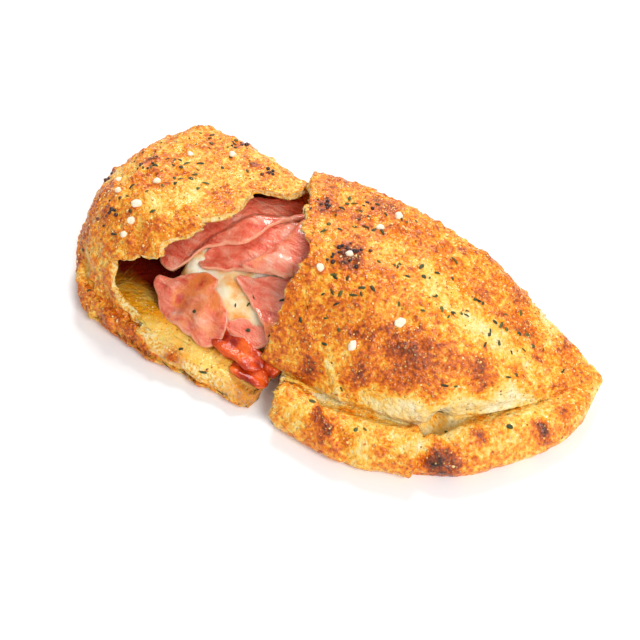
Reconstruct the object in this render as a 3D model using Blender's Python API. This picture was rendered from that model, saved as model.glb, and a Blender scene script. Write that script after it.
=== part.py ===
"""Panzerotto: a baked turnover torn in two across the middle, with its filling showing.

The two crust halves lie as they were pulled apart, and the filling bridges them. Everything is set out
in millimetres along three working axes: x runs along the loaf from its round left end to its pointed
right end, y from the crimped front edge to the rounded back, and z up from the surface that it lies on.
MIDDLE then puts the middle of the loaf's underside at the origin.
"""

import math
from collections import namedtuple

import bmesh
import bpy
from mathutils import Vector

MM = 0.001
MIDDLE = Vector((7.5, 2.1, 0.0))

# Crust: thickness of the base and of the crisp top, and how many faces go round and along each half.
WALL = 4.5
TOP_WALL = 3.2
SPOKES = 54
CRUST_RINGS = 19
CAVITY_RINGS = 9

# Crimped edge: each pleat's length along the edge, how high it stands and how far it leans back.
PLEAT_PITCH = 25.0
PLEAT_HEIGHT = 1.8
PLEAT_LEAN = 0.55

# Filling. GAP is the free space under every piece.
GAP = 1.3
SLICE = 1.9
SLICE_SPOKES = 22
SLICE_RINGS = 10
DRAPE = 5.0

# The loaf's cross-sections, like the offset table of a hull. In each row, x is the place along the loaf.
# front, crease, ridge, shoulder and back are y values: the outer edge of the crimped rim, the fold where
# the rim meets the top crust, the top line, the edge of the back and the furthest point of the back.
# The h_ values are heights, and lift is how far the underside is off the surface.
Section = namedtuple("Section", "x front crease ridge shoulder back h_ridge h_shoulder h_rim h_crease lift")

LEFT_SECTIONS = [
    Section(-115, 5, 8, 10, 14, 18, 18, 17, 12, 13, 10),
    Section(-111.5, -11, -2, 9, 26, 31, 29, 27, 14, 18, 4),
    Section(-105, -28, -19, 5, 34, 42, 37.5, 33, 15, 19, 1),
    Section(-94, -41, -32, 1, 42, 50, 45.5, 39.5, 15, 20, 0),
    Section(-80, -50, -41, -4, 46.5, 55, 51, 44.5, 14, 20, 0),
    Section(-58, -54, -45, -8, 46, 55, 52, 44.5, 13, 19, 0),
    Section(-35, -54, -45, -5, 43, 53, 51, 43.5, 12, 17, 0),
    Section(-14, -53, -44, 2, 39, 49, 50, 42.5, 12, 16, 0),
    Section(12, -52, -43, 6, 38, 48, 50, 42, 12, 15, 0),
]
RIGHT_SECTIONS = [
    Section(130, 18, 31.5, 34, 36.5, 39, 9.5, 9, 9, 9, 4),
    Section(127.5, 7, 31, 34, 37.5, 41, 12, 11.5, 11.5, 11, 1.5),
    Section(122, -4, 26, 30, 39, 43.5, 14, 13, 13.5, 12.5, 0.5),
    Section(112, -18, 12, 18, 42, 47.5, 18, 15.5, 15, 13, 0),
    Section(100, -31, -2, 6, 44.5, 51, 25.5, 20.5, 16, 12, 0),
    Section(88, -39, -14, 1.5, 46, 54, 34, 26.5, 16, 12, 0),
    Section(76, -45.5, -26, 3, 48.5, 56.5, 40.5, 32.5, 15.5, 11, 0),
    Section(62, -51.5, -29.5, 5.5, 50, 58, 46, 38, 15, 11, 0),
    Section(40, -53, -34, 9, 50, 58, 51, 44, 15, 11, 0),
    Section(10, -52, -35, 11, 49, 57, 52.5, 47, 14, 12, 0),
    Section(-24, -52, -38, 6, 48, 56, 51, 45, 13, 11, 0),
]

# Where each half is torn: x of the torn edge at a knot of the cross-section, counted from the front of
# the underside, up over the rim (2 to 4), the crease (5), the ridge (8) and the back (11) to the
# underside again (13 to 15).
LEFT_TEAR = [
    (0.0, 12), (1.3, 9), (1.8, 4), (2.05, -12), (2.25, -28), (2.6, -39), (3.0, -44.5), (4.2, -52),
    (4.6, -57), (5.05, -63), (5.5, -67), (6.1, -67), (6.5, -51), (7.0, -43), (7.5, -37), (8.2, -32),
    (8.9, -31), (9.25, -20), (10.2, -18.5), (11.0, -18), (12.0, -17), (13.0, -16), (14.0, -10),
    (14.7, 7), (15.0, 12),
]
RIGHT_TEAR = [
    (0.0, 22), (1.2, 26), (1.8, 27), (2.1, 24.7), (3.5, 22.8), (4.9, 19.4), (5.3, 10), (6.1, 9.5),
    (7.4, 8), (8.2, -1.5), (9.06, -10.8), (9.6, -16.6), (10.2, -17), (11.0, -16), (12.0, -12),
    (13.0, -11), (14.0, -2), (15.0, 22),
]
TOOTH = 0.9


def smooth_through(xs, ys, x):
    """Height at x of a curve through the points that never overshoots them."""
    if xs[0] > xs[-1]:
        xs, ys = xs[::-1], ys[::-1]
    x = min(max(x, xs[0]), xs[-1])
    steps = [b - a for a, b in zip(xs, xs[1:])]
    slopes = [(b - a) / step for a, b, step in zip(ys, ys[1:], steps)]
    k = max(i for i in range(len(steps)) if xs[i] <= x)

    def tangent(i):
        if i == 0 or i == len(slopes):
            return slopes[min(i, len(slopes) - 1)]
        before, after = slopes[i - 1], slopes[i]
        if before * after <= 0:
            return 0.0
        return 2 * before * after / (before + after)

    t = (x - xs[k]) / steps[k]
    a, b = tangent(k) * steps[k], tangent(k + 1) * steps[k]
    return ((1 + 2 * t) * (1 - t) ** 2 * ys[k] + t * (1 - t) ** 2 * a
            + t * t * (3 - 2 * t) * ys[k + 1] + t * t * (t - 1) * b)


def section_at(sections, x):
    """The cross-section's sizes at any x, read between the rows of its table."""
    xs = [row.x for row in sections]
    columns = zip(*sections)
    return Section(*[smooth_through(xs, list(column), x) for column in columns])


def edge_length(x, start=20.0, step=2.0):
    """How far along the crimped front edge the place x is, from the torn end of the right half."""
    length = 0.0
    here = start
    while here < x:
        a = section_at(RIGHT_SECTIONS, here).front
        b = section_at(RIGHT_SECTIONS, here + step).front
        length += math.hypot(step, b - a)
        here += step
    return length


def outer_knots(s):
    """The outside of the crust at one cross-section, as (y, z) knots of a closed curve."""
    rim = s.crease - s.front
    rise = s.ridge - s.crease
    small = min(1.0, (s.back - s.front) / 60)
    return [
        (s.front + 8 * small, s.lift),
        (s.front + 1.5 * small, s.lift + 2 * small),
        (s.front, s.lift + 0.5 * (s.h_rim - s.lift)),
        (s.front + 0.32 * rim, 0.97 * s.h_rim),
        (s.front + 0.68 * rim, s.h_rim),
        (s.crease, s.h_crease),
        (s.crease + 0.14 * rise, s.h_crease + 0.38 * (s.h_ridge - s.h_crease)),
        (s.crease + 0.62 * rise, s.h_crease + 0.86 * (s.h_ridge - s.h_crease)),
        (s.ridge, s.h_ridge),
        (0.5 * (s.ridge + s.shoulder), 0.5 * (s.h_ridge + s.h_shoulder) + 0.035 * s.h_ridge),
        (s.shoulder, s.h_shoulder),
        (s.back, s.lift + 0.55 * (s.h_shoulder - s.lift)),
        (s.back - 2.5 * small, s.lift + 4 * small),
        (s.back - 10 * small, s.lift),
        (0.5 * (s.front + s.back), s.lift),
    ]


def inner_knots(s):
    """The inside there: a thin crisp top, and a wall behind the folded rim."""
    rise = s.ridge - s.crease
    floor = s.lift + WALL
    wall = max(s.front + 10, s.crease + 1 + 0.5 * max(0.0, s.h_rim - s.h_crease))
    bend = s.h_crease + min(1.0, max(-1.0, s.h_rim - s.h_crease))
    back_foot = s.back - WALL - 10
    return [
        (wall + 11, floor),
        (wall + 4, floor + 0.5),
        (wall + 1, floor + min(3.0, 0.3 * (bend - floor))),
        (wall, min(s.h_rim - 2.5, floor + 0.6 * (bend - floor))),
        (max(s.crease + 2.5, wall), bend),
        (s.crease + WALL, s.h_crease + 3),
        (s.crease + 0.14 * rise + WALL, s.h_crease + 0.38 * (s.h_ridge - s.h_crease) - 1),
        (s.crease + 0.62 * rise + 2.5, s.h_crease + 0.86 * (s.h_ridge - s.h_crease) - 3),
        (s.ridge, s.h_ridge - TOP_WALL),
        (0.5 * (s.ridge + s.shoulder), 0.5 * (s.h_ridge + s.h_shoulder) + 0.035 * s.h_ridge - TOP_WALL),
        (s.shoulder - 2, s.h_shoulder - TOP_WALL),
        (s.back - TOP_WALL, s.lift + 0.55 * (s.h_shoulder - s.lift)),
        (s.back - TOP_WALL - 2.5, floor + 3),
        (back_foot, floor),
        (0.5 * (wall + 11 + back_foot), floor),
    ]


def on_closed_curve(knots, u):
    """The point at knot number u of a smooth closed curve through the knots."""
    count = len(knots)
    k = int(u) % count
    f = u - math.floor(u)
    p0, p1, p2, p3 = (knots[(k + i) % count] for i in (-1, 0, 1, 2))
    return tuple(
        0.5 * (2 * b + (c - a) * f + (2 * a - 5 * b + 4 * c - d) * f * f + (3 * b - a - 3 * c + d) * f ** 3)
        for a, b, c, d in zip(p0, p1, p2, p3)
    )


def pleated(s, point, u, along):
    """Lean the crimped pleats into the rim, which lies between knots 1 and 5."""
    if not 1 < u < 5:
        return point
    share = math.sin(math.pi * (u - 1) / 4)
    wave = math.sin(2 * math.pi * (along / PLEAT_PITCH + PLEAT_LEAN * (u - 1) / 4))
    y, z = point
    return (y - 0.6 * PLEAT_HEIGHT * share * wave, z + PLEAT_HEIGHT * share * wave * s.h_rim / 15)


def torn_at(tear, u):
    """x of the torn edge at knot u, with small teeth."""
    xs, ys = zip(*tear)
    return smooth_through(list(xs), list(ys), u) + TOOTH * math.sin(9.1 * u) * math.sin(2.3 * u + 1)


def outer_point(sections, x, u):
    s = section_at(sections, x)
    y, z = on_closed_curve(outer_knots(s), u)
    if sections is RIGHT_SECTIONS:
        y, z = pleated(s, (y, z), u, edge_length(x))
    return Vector((x, y, max(z, 0.0)))


def inner_point(sections, x, u):
    y, z = on_closed_curve(inner_knots(section_at(sections, x)), u)
    return Vector((x, y, max(z, WALL)))


def to_world(point):
    return (point - MIDDLE) * MM


# --- Objects ---------------------------------------------------------------------------------------

def clear_scene():
    for old in list(bpy.data.objects):
        bpy.data.objects.remove(old, do_unlink=True)


def material(name, colour, roughness):
    made = bpy.data.materials.new(name)
    made.use_nodes = True
    shader = made.node_tree.nodes["Principled BSDF"]
    shader.inputs["Base Color"].default_value = (*colour, 1.0)
    shader.inputs["Roughness"].default_value = roughness
    shader.inputs["Metallic"].default_value = 0.0
    return made


def add_object(name, bm, look, parent):
    bmesh.ops.recalc_face_normals(bm, faces=bm.faces)
    mesh = bpy.data.meshes.new(name)
    bm.to_mesh(mesh)
    bm.free()
    mesh.shade_smooth()
    mesh.materials.append(look)
    made = bpy.data.objects.new(name, mesh)
    bpy.context.scene.collection.objects.link(made)
    made.parent = parent
    return made


def half_ball(bm, rings):
    """Half a sphere, open at its equator; returns (vertex, spoke, ring share) for each of its vertices.

    The share is 0 at the pole, which becomes the closed end of the crust, and 1 at the open rim.
    """
    ball = bmesh.ops.create_uvsphere(bm, u_segments=SPOKES, v_segments=2 * rings, radius=1)["verts"]
    bmesh.ops.delete(bm, geom=[v for v in ball if v.co.z > 0.01], context="VERTS")
    placed = []
    for v in [v for v in ball if v.is_valid]:
        spoke = round(math.atan2(v.co.y, v.co.x) / (2 * math.pi) * SPOKES) % SPOKES
        angle = math.acos(min(1.0, -v.co.z))
        share = 0.5 * angle / (math.pi / 2) + 0.5 * (1 - math.cos(angle))
        placed.append((v, spoke, share))
    return placed


def open_edges(bm):
    return [e for e in bm.edges if e.is_boundary]


def crust(name, sections, tear, parent, look):
    """One half: an outer skin and an inner skin from its closed end to the tear, joined there."""
    bm = bmesh.new()
    tip = sections[0].x
    inwards = 1 if sections[-1].x > tip else -1
    skins = [(outer_point, CRUST_RINGS, tip), (inner_point, CAVITY_RINGS, tip + inwards * 14)]
    for skin, rings, end in skins:
        for v, spoke, share in half_ball(bm, rings):
            u = spoke / SPOKES * 15
            x = end + (torn_at(tear, u) - end) * share
            if share < 0.001:
                middle = [skin(sections, end, knot) for knot in range(15)]
                point = sum(middle, Vector()) / 15
            else:
                point = skin(sections, x, u)
            v.co = to_world(point)
    bmesh.ops.bridge_loops(bm, edges=open_edges(bm))
    bmesh.ops.triangulate(bm, faces=bm.faces)
    return add_object(name, bm, look, parent)


# --- Filling ---------------------------------------------------------------------------------------

def ceiling(x, y):
    """Height of the crust's inside over (x, y); it lifts away steadily where a half is torn off."""
    front = min(max(-y / 8, 0.0), 1.0)
    left = inside_height(LEFT_SECTIONS, min(x, -16), y)
    left += max(0.0, x + 16) + front * 2 * max(0.0, x + 66)
    right = inside_height(RIGHT_SECTIONS, max(x, -18), y)
    right += max(0.0, -18 - x) + front * 2 * max(0.0, 14 - x)
    return min(left, right)


def inside_height(sections, x, y):
    knots = inner_knots(section_at(sections, x))[3:12]
    if y <= knots[0][0] or y >= knots[-1][0]:
        return 0.0
    for (y0, z0), (y1, z1) in zip(knots, knots[1:]):
        if y < y1:
            return z0 + (z1 - z0) * (y - y0) / (y1 - y0)
    return 0.0


def smaller(a, b, blend=4.0):
    """The smaller of two heights, rounded off where they cross."""
    return 0.5 * (a + b - math.hypot(a - b, blend))


def left_end(x):
    """How far the heap falls away where the filling stops short of the loaf's left end."""
    return 0.14 * max(0.0, -46 - x) ** 2


def heap(x, y, hang=0.0):
    """The filling's surface before the slices: high at the back, sloping down to the torn front.

    A slice that hangs over the heap's left end, by a share of 0 to 1, stays that much higher there.
    """
    slope = smaller(33.5 + 0.62 * (y - 2), 39.0, 6.0)
    slope = smaller(slope, ceiling(x, y) - 8.5)
    front_gap = 2.5 * math.exp(-((x + 22) ** 2 + (y + 22) ** 2) / 90)
    return -smaller((1 - hang) * left_end(x) - slope - front_gap, -7.5, 2.0)


class Slice:
    """A flat piece given by its middle and a few points of its outline, in order round it."""

    def __init__(self, name, outline, thick=SLICE, under=(), hang=0.0):
        self.name = name
        self.thick = thick
        self.under = under
        self.hang = hang
        self.cx = sum(x for x, y in outline) / len(outline)
        self.cy = sum(y for x, y in outline) / len(outline)
        polar = sorted((math.atan2(y - self.cy, x - self.cx), math.hypot(x - self.cx, y - self.cy))
                       for x, y in outline)
        turn = 2 * math.pi
        wrapped = [(a - turn, r) for a, r in polar[-2:]] + polar + [(a + turn, r) for a, r in polar[:2]]
        self.angles = [a for a, r in wrapped]
        self.radii = [r for a, r in wrapped]

    def reach(self, angle):
        return smooth_through(self.angles, self.radii, angle)

    def covers(self, x, y):
        """1 over the piece, falling to 0 a few millimetres outside it."""
        dx, dy = x - self.cx, y - self.cy
        out = math.hypot(dx, dy) - self.reach(math.atan2(dy, dx))
        t = min(max((out - 1.0) / DRAPE, 0.0), 1.0)
        return 1 - t * t * (3 - 2 * t)

    def bottom(self, x, y):
        base = heap(x, y, self.hang) + GAP
        for other in self.under:
            base = max(base, other.covers(x, y) * (other.top(x, y) + GAP - base) + base)
        return base

    def top(self, x, y):
        return self.bottom(x, y) + self.thick


HAM_LOW = Slice("ham_low", [(-16, -29.5), (-13, -26), (-4, -24), (4, -24.5), (7, -27), (5, -29), (-6, -30.5),
                            (-13, -31)], thick=1.6)
HAM_LEFT = Slice("ham_left", [(-57, -28), (-52, -32), (-49, -35.5), (-43, -38.5), (-35, -39), (-28, -39.5),
                              (-21, -41), (-16, -39.5), (-13.5, -35), (-13.5, -31), (-16, -26), (-21, -23),
                              (-27, -20), (-29, -16), (-34, -15.5), (-43, -18.5), (-49, -23)],
                 thick=1.8, under=(HAM_LOW,), hang=1.0)
HAM_RIGHT = Slice("ham_right", [(-22, -12.5), (-14, -9), (-4, -5), (8, -2), (16, -5), (13, -15), (8, -24),
                                (6.5, -28), (1, -24), (-5, -20.5), (-11, -17.5), (-17, -15)],
                  under=(HAM_LOW, HAM_LEFT))
HAM_SECOND = Slice("ham_second", [(-42, -14), (-38, -16), (-31, -13.5), (-24, -10), (-14, -8), (0, -2),
                                  (12, 5), (14, 14), (4, 21), (-9, 22), (-22, 14), (-32, 4), (-40, -6)],
                   under=(HAM_LEFT, HAM_RIGHT), hang=1.0)
HAM_TOP = Slice("ham_top", [(-55, -19), (-47, -14), (-40, -8), (-31, -3), (-23, 3), (-20, 10), (-18, 17),
                            (-10, 24), (-4, 29), (-16, 31), (-32, 26), (-46, 14), (-54, 1), (-58, -11)],
                under=(HAM_SECOND,), hang=1.0)
HAM_FOLD = Slice("ham_fold", [(-20, -10), (-17, -6), (-14, 1), (-10, 7), (-9, 14), (-8, 21), (1, 21), (9, 15),
                              (14, 6), (12, -2), (3, -3), (-6, -7), (-13, -9.5)],
                 thick=2.2, under=(HAM_SECOND, HAM_RIGHT, HAM_TOP))
SLICES = [HAM_LOW, HAM_LEFT, HAM_RIGHT, HAM_SECOND, HAM_TOP, HAM_FOLD]

# The mozzarella's outline, and the tomato pieces: name, two ends (x, y, z) and radius.
MOZZARELLA = Slice("mozzarella", [(-60, 8), (-56, -8), (-52, -18), (-45, -27), (-34, -30), (-18, -29.5),
                                  (-2, -29), (14, -27), (26, -27.5), (40, -25.5), (56, -22.5), (70, -18),
                                  (84, -10), (96, 2), (106, 13), (109, 20), (108, 28), (102, 37),
                                  (88, 43), (66, 47), (40, 46), (14, 41), (-14, 34), (-38, 32), (-54, 24)])
TOMATOES = [
    ("tomato_long", (-12.5, -35.8, 10.2), (7.5, -36.2, 10.2), 3.8),
    ("tomato_short", (-2, -42, 10.4), (13, -41.6, 9.6), 2.4),
    ("tomato_end", (12.6, -36, 8.4), (13.4, -29.5, 8.4), 2.5),
]


def flattened_ball(bm, piece, spokes, rings, low, high):
    """A closed piece between two heights: the ball's rings become rings of the piece's outline."""
    ball = bmesh.ops.create_uvsphere(bm, u_segments=spokes, v_segments=rings, radius=1)["verts"]
    for v in ball:
        angle = math.atan2(v.co.y, v.co.x)
        flat = math.hypot(v.co.x, v.co.y)
        share = math.asin(min(1.0, flat)) / (math.pi / 2)
        x = piece.cx + piece.reach(angle) * share * math.cos(angle)
        y = piece.cy + piece.reach(angle) * share * math.sin(angle)
        z0, z1 = low(x, y), high(x, y)
        side = 0.0 if abs(v.co.z) < 0.01 else math.copysign(1.0, v.co.z)
        v.co = to_world(Vector((x, y, 0.5 * (z0 + z1) + 0.5 * side * (z1 - z0))))


def ham_slice(piece, parent, look):
    bm = bmesh.new()
    flattened_ball(bm, piece, SLICE_SPOKES, SLICE_RINGS, piece.bottom, piece.top)
    bmesh.ops.triangulate(bm, faces=bm.faces)
    return add_object(piece.name, bm, look, parent)


def mozzarella(parent, look):
    """The bed of cheese that runs through both halves, on the bottom crust and under the slices."""
    bm = bmesh.new()

    def top(x, y):
        return max(heap(x, y), min(ceiling(x, y) - 4.0, 44.0) if x > 20 else 0.0)

    flattened_ball(bm, MOZZARELLA, 2 * SLICE_SPOKES, 2 * SLICE_RINGS, lambda x, y: WALL + GAP, top)
    bmesh.ops.triangulate(bm, faces=bm.faces)
    return add_object(MOZZARELLA.name, bm, look, parent)


def tomato(name, start, end, radius, parent, look):
    """A soft rolled piece: a ball drawn out along its length and bent a little."""
    bm = bmesh.new()
    start, end = Vector(start), Vector(end)
    run = end - start
    side = Vector((0, 0, 1)).cross(run).normalized()
    for v in bmesh.ops.create_uvsphere(bm, u_segments=10, v_segments=10, radius=1)["verts"]:
        share = 0.5 + 0.5 * v.co.z
        around = radius * (side * v.co.x + Vector((0, 0, 1)) * v.co.y)
        v.co = to_world(start + run * share + around + Vector((0, 0, 0.6 * math.sin(math.pi * share))))
    bmesh.ops.triangulate(bm, faces=bm.faces)
    return add_object(name, bm, look, parent)


def build():
    clear_scene()
    loaf = bpy.data.objects.new("panzerotto", None)
    bpy.context.scene.collection.objects.link(loaf)

    baked = material("baked crust", (0.68, 0.36, 0.10), 0.65)
    cheese = material("melted mozzarella", (0.90, 0.80, 0.58), 0.35)
    ham = material("cooked ham", (0.80, 0.28, 0.24), 0.35)
    red = material("cooked tomato", (0.72, 0.12, 0.03), 0.25)

    crust("crust_left", LEFT_SECTIONS, LEFT_TEAR, loaf, baked)
    crust("crust_right", RIGHT_SECTIONS, RIGHT_TEAR, loaf, baked)
    mozzarella(loaf, cheese)
    for piece in SLICES:
        ham_slice(piece, loaf, ham)
    for name, start, end, radius in TOMATOES:
        tomato(name, start, end, radius, loaf, red)


build()
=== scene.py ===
# %% [markdown]
# # A panzerotto, torn in two
# A big folded turnover: a disc of pizza dough closed over ham, mozzarella and tomato, crimped along its
# front edge, strewn with coarse cheese, herbs and pepper, and baked. Someone has torn it across.
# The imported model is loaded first. It is the fixed frame: the detailed pieces made below take the
# places of its solids, and every place is read from it or is measured on the food, in millimetres.

# %% Load the frame
import math
import random
from collections import namedtuple

import bmesh
import bpy
from mathutils import Matrix, Vector, noise
from mathutils.bvhtree import BVHTree


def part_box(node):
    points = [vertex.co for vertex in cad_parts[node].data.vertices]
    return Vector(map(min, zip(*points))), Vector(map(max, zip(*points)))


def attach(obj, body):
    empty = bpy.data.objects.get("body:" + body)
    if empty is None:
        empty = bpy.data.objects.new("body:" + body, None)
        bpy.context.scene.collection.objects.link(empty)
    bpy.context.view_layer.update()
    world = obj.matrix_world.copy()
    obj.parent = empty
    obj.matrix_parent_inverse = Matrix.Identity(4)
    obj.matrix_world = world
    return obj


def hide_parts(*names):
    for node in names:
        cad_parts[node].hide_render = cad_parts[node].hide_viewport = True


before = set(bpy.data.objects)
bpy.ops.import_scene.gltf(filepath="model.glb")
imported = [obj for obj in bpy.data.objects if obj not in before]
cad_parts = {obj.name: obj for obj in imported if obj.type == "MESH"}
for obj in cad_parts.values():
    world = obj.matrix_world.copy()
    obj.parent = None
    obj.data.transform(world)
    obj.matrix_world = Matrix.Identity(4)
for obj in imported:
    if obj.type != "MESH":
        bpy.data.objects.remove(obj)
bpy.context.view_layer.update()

MM = 0.001

# %% [markdown]
# ## The loaf's own axes
# Food has no straight edges to measure from, so the shape is written down as a boat builder does it: a
# table of cross-sections along the length. x runs from the round left end to the pointed right end,
# y from the crimped front to the back, z up from the plate. The solids' places in the frame say where
# these axes start, so everything built from the table lands where the solids are.

# %% Tables of cross-sections
Section = namedtuple("Section", "x front crease ridge shoulder back h_ridge h_shoulder h_rim h_crease lift")

LEFT_ROWS = [
    Section(-115, 5, 8, 10, 14, 18, 18, 17, 12, 13, 10),
    Section(-111.5, -11, -2, 9, 26, 31, 29, 27, 14, 18, 4),
    Section(-105, -28, -19, 5, 34, 42, 37.5, 33, 15, 19, 1),
    Section(-94, -41, -32, 1, 42, 50, 45.5, 39.5, 15, 20, 0),
    Section(-80, -50, -41, -4, 46.5, 55, 51, 44.5, 14, 20, 0),
    Section(-58, -54, -45, -8, 46, 55, 52, 44.5, 13, 19, 0),
    Section(-35, -54, -45, -5, 43, 53, 51, 43.5, 12, 17, 0),
    Section(-14, -53, -44, 2, 39, 49, 50, 42.5, 12, 16, 0),
    Section(12, -52, -43, 6, 38, 48, 50, 42, 12, 15, 0),
]
RIGHT_ROWS = [
    Section(-24, -52, -38, 6, 48, 56, 51, 45, 13, 11, 0),
    Section(10, -52, -35, 11, 49, 57, 52.5, 47, 14, 12, 0),
    Section(40, -53, -34, 9, 50, 58, 51, 44, 15, 11, 0),
    Section(62, -51.5, -29.5, 5.5, 50, 58, 46, 38, 15, 11, 0),
    Section(76, -45.5, -26, 3, 48.5, 56.5, 40.5, 32.5, 15.5, 11, 0),
    Section(88, -39, -14, 1.5, 46, 54, 34, 26.5, 16, 12, 0),
    Section(100, -31, -2, 6, 44.5, 51, 25.5, 20.5, 16, 12, 0),
    Section(112, -18, 12, 18, 42, 47.5, 18, 15.5, 15, 13, 0),
    Section(122, -4, 26, 30, 39, 43.5, 14, 13, 13.5, 12.5, 0.5),
    Section(127.5, 7, 31, 34, 37.5, 41, 12, 11.5, 11.5, 11, 1.5),
    Section(130, 18, 31.5, 34, 36.5, 39, 9.5, 9, 9, 9, 4),
]
# The torn edges: knot number round a cross-section, and x of the edge there.
LEFT_TEAR = [
    (0.0, 12), (1.3, 9), (1.8, 4), (2.05, -12), (2.25, -28), (2.6, -39), (3.0, -44.5), (4.2, -52),
    (4.6, -57), (5.05, -63), (5.5, -67), (6.1, -67.5), (6.3, -59.5), (6.44, -53), (6.56, -47.5),
    (6.8, -48.8), (6.95, -45), (7.1, -41), (7.5, -36.8), (7.75, -38.6), (8.0, -33.6), (8.2, -31.2),
    (8.56, -31.4), (8.94, -31.6), (9.1, -27), (9.25, -19.5), (9.6, -16.8), (10.2, -18.5), (11.0, -18),
    (12.0, -17), (13.0, -16), (14.0, -10), (14.7, 7), (15.0, 12),
]
RIGHT_TEAR = [
    (0.0, 22), (1.2, 26), (1.8, 27), (2.1, 24.7), (3.5, 22.8), (4.9, 19.4), (5.12, 18.4), (5.28, 10),
    (5.44, 9), (6.1, 9.6), (6.44, 8.9), (6.7, 7.2), (6.94, 9.2), (7.2, 9.4), (7.44, 7.9), (7.8, 1.5),
    (8.2, -1.5), (8.62, -5.8), (9.06, -10.8), (9.6, -16.6), (10.2, -17), (11.0, -16), (12.0, -12),
    (13.0, -11), (14.0, -2), (15.0, 22),
]
# Thickness of the dough at the base and of the crisp top, in mm.
WALL = 4.5
TOP_WALL = 3.2

left_low, left_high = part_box("crust_left")
right_low, right_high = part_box("crust_right")
MIDDLE = Vector((LEFT_ROWS[0].x - left_low.x / MM, RIGHT_ROWS[2].back - right_high.y / MM, 0))
print("The frame's origin on the loaf's axes:", [round(v, 1) for v in MIDDLE], "mm")


def to_world(point):
    """From the loaf's axes, in mm, to the frame's, in metres."""
    return (point - MIDDLE) * MM


# %% [markdown]
# ## Reading between the rows
# Between two rows the shape has to be worked out. Straight lines would leave a crease at every row, and
# an ordinary spline overshoots, which puts a bump where the dough has none. So the rows are joined by a
# smooth curve that stays between its points.

# %% Curves through the tables
def smooth_through(xs, ys, x):
    """Height at x of a curve through the points that never overshoots them."""
    x = min(max(x, xs[0]), xs[-1])
    steps = [b - a for a, b in zip(xs, xs[1:])]
    slopes = [(b - a) / step for a, b, step in zip(ys, ys[1:], steps)]
    k = max(i for i in range(len(steps)) if xs[i] <= x)

    def tangent(i):
        if i == 0 or i == len(slopes):
            return slopes[min(i, len(slopes) - 1)]
        before, after = slopes[i - 1], slopes[i]
        return 2 * before * after / (before + after) if before * after > 0 else 0.0

    t = (x - xs[k]) / steps[k]
    a, b = tangent(k) * steps[k], tangent(k + 1) * steps[k]
    return ((1 + 2 * t) * (1 - t) ** 2 * ys[k] + t * (1 - t) ** 2 * a
            + t * t * (3 - 2 * t) * ys[k + 1] + t * t * (t - 1) * b)


def between(low, high, value):
    """0 below low, 1 above high, and a smooth step from one to the other."""
    t = min(max((value - low) / (high - low), 0.0), 1.0)
    return t * t * (3 - 2 * t)


def hill(distance, width):
    """A bell-shaped bump, 1 at distance 0."""
    return math.exp(-(distance / width) ** 2)


def mound(x, y, at_x, at_y, radius):
    """The same bump seen from above, round the point (at_x, at_y)."""
    return math.exp(-((x - at_x) ** 2 + (y - at_y) ** 2) / radius ** 2)


def swell(p, size, seed=0.0):
    """Noise between about -1 and 1 whose bumps are about size mm wide."""
    return noise.noise(p / size + Vector((seed, seed * 0.7, seed * 1.3)))


print("Halfway from 0 to 10 the smooth step is", between(0, 10, 5))

# %% [markdown]
# ## One cross-section
# Every cross-section is a closed curve through fifteen points, or knots, always in the same order:
# underside, crimped rim, crease, top, back. Each size in a row of the table moves some of them. As knot
# 5 is always the crease, a fold or a brown patch can be put there anywhere along the loaf.

# %% Outline of one cross-section
KNOTS = 15


def outer_knots(s):
    """The outside of the crust as (y, z) knots: underside, rim 2 to 4, crease 5, ridge 8, back 11."""
    rim = s.crease - s.front
    rise = s.ridge - s.crease
    small = min(1.0, (s.back - s.front) / 60)
    return [
        (s.front + 8 * small, s.lift),
        (s.front + 1.5 * small, s.lift + 2 * small),
        (s.front, s.lift + 0.5 * (s.h_rim - s.lift)),
        (s.front + 0.32 * rim, 0.97 * s.h_rim),
        (s.front + 0.68 * rim, s.h_rim),
        (s.crease, s.h_crease),
        (s.crease + 0.14 * rise, s.h_crease + 0.38 * (s.h_ridge - s.h_crease)),
        (s.crease + 0.62 * rise, s.h_crease + 0.86 * (s.h_ridge - s.h_crease)),
        (s.ridge, s.h_ridge),
        (0.5 * (s.ridge + s.shoulder), 0.5 * (s.h_ridge + s.h_shoulder) + 0.035 * s.h_ridge),
        (s.shoulder, s.h_shoulder),
        (s.back, s.lift + 0.55 * (s.h_shoulder - s.lift)),
        (s.back - 2.5 * small, s.lift + 4 * small),
        (s.back - 10 * small, s.lift),
        (0.5 * (s.front + s.back), s.lift),
    ]


# The way in from each outer knot of the top, 5 to 11, to the inner one: in y and in z.
ROOF_SHIFTS = [
    (WALL, 3), (WALL, -1), (2.5, -3), (0, -TOP_WALL), (0, -TOP_WALL), (-2, -TOP_WALL), (-TOP_WALL, 0),
]


def inner_knots(s):
    """The inside there: a thin crisp top, and a wall behind the folded rim."""
    floor = s.lift + WALL
    wall = max(s.front + 10, s.crease + 1 + 0.5 * max(0.0, s.h_rim - s.h_crease))
    bend = s.h_crease + min(1.0, max(-1.0, s.h_rim - s.h_crease))
    back_foot = s.back - WALL - 10
    return [
        (wall + 11, floor),
        (wall + 4, floor + 0.5),
        (wall + 1, floor + min(3.0, 0.3 * (bend - floor))),
        (wall, min(s.h_rim - 2.5, floor + 0.6 * (bend - floor))),
        (max(s.crease + 2.5, wall), bend),
        *[(y + dy, z + dz) for (y, z), (dy, dz) in zip(outer_knots(s)[5:12], ROOF_SHIFTS)],
        (s.back - TOP_WALL - 2.5, floor + 3),
        (back_foot, floor),
        (0.5 * (wall + 11 + back_foot), floor),
    ]


def face_outward(bm):
    """Smooth faces whose normals all point out of the closed body, whichever way it was turned."""
    bmesh.ops.recalc_face_normals(bm, faces=bm.faces)
    if bm.calc_volume(signed=True) < 0:
        bmesh.ops.reverse_faces(bm, faces=bm.faces)
    for f in bm.faces:
        f.smooth = True


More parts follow.
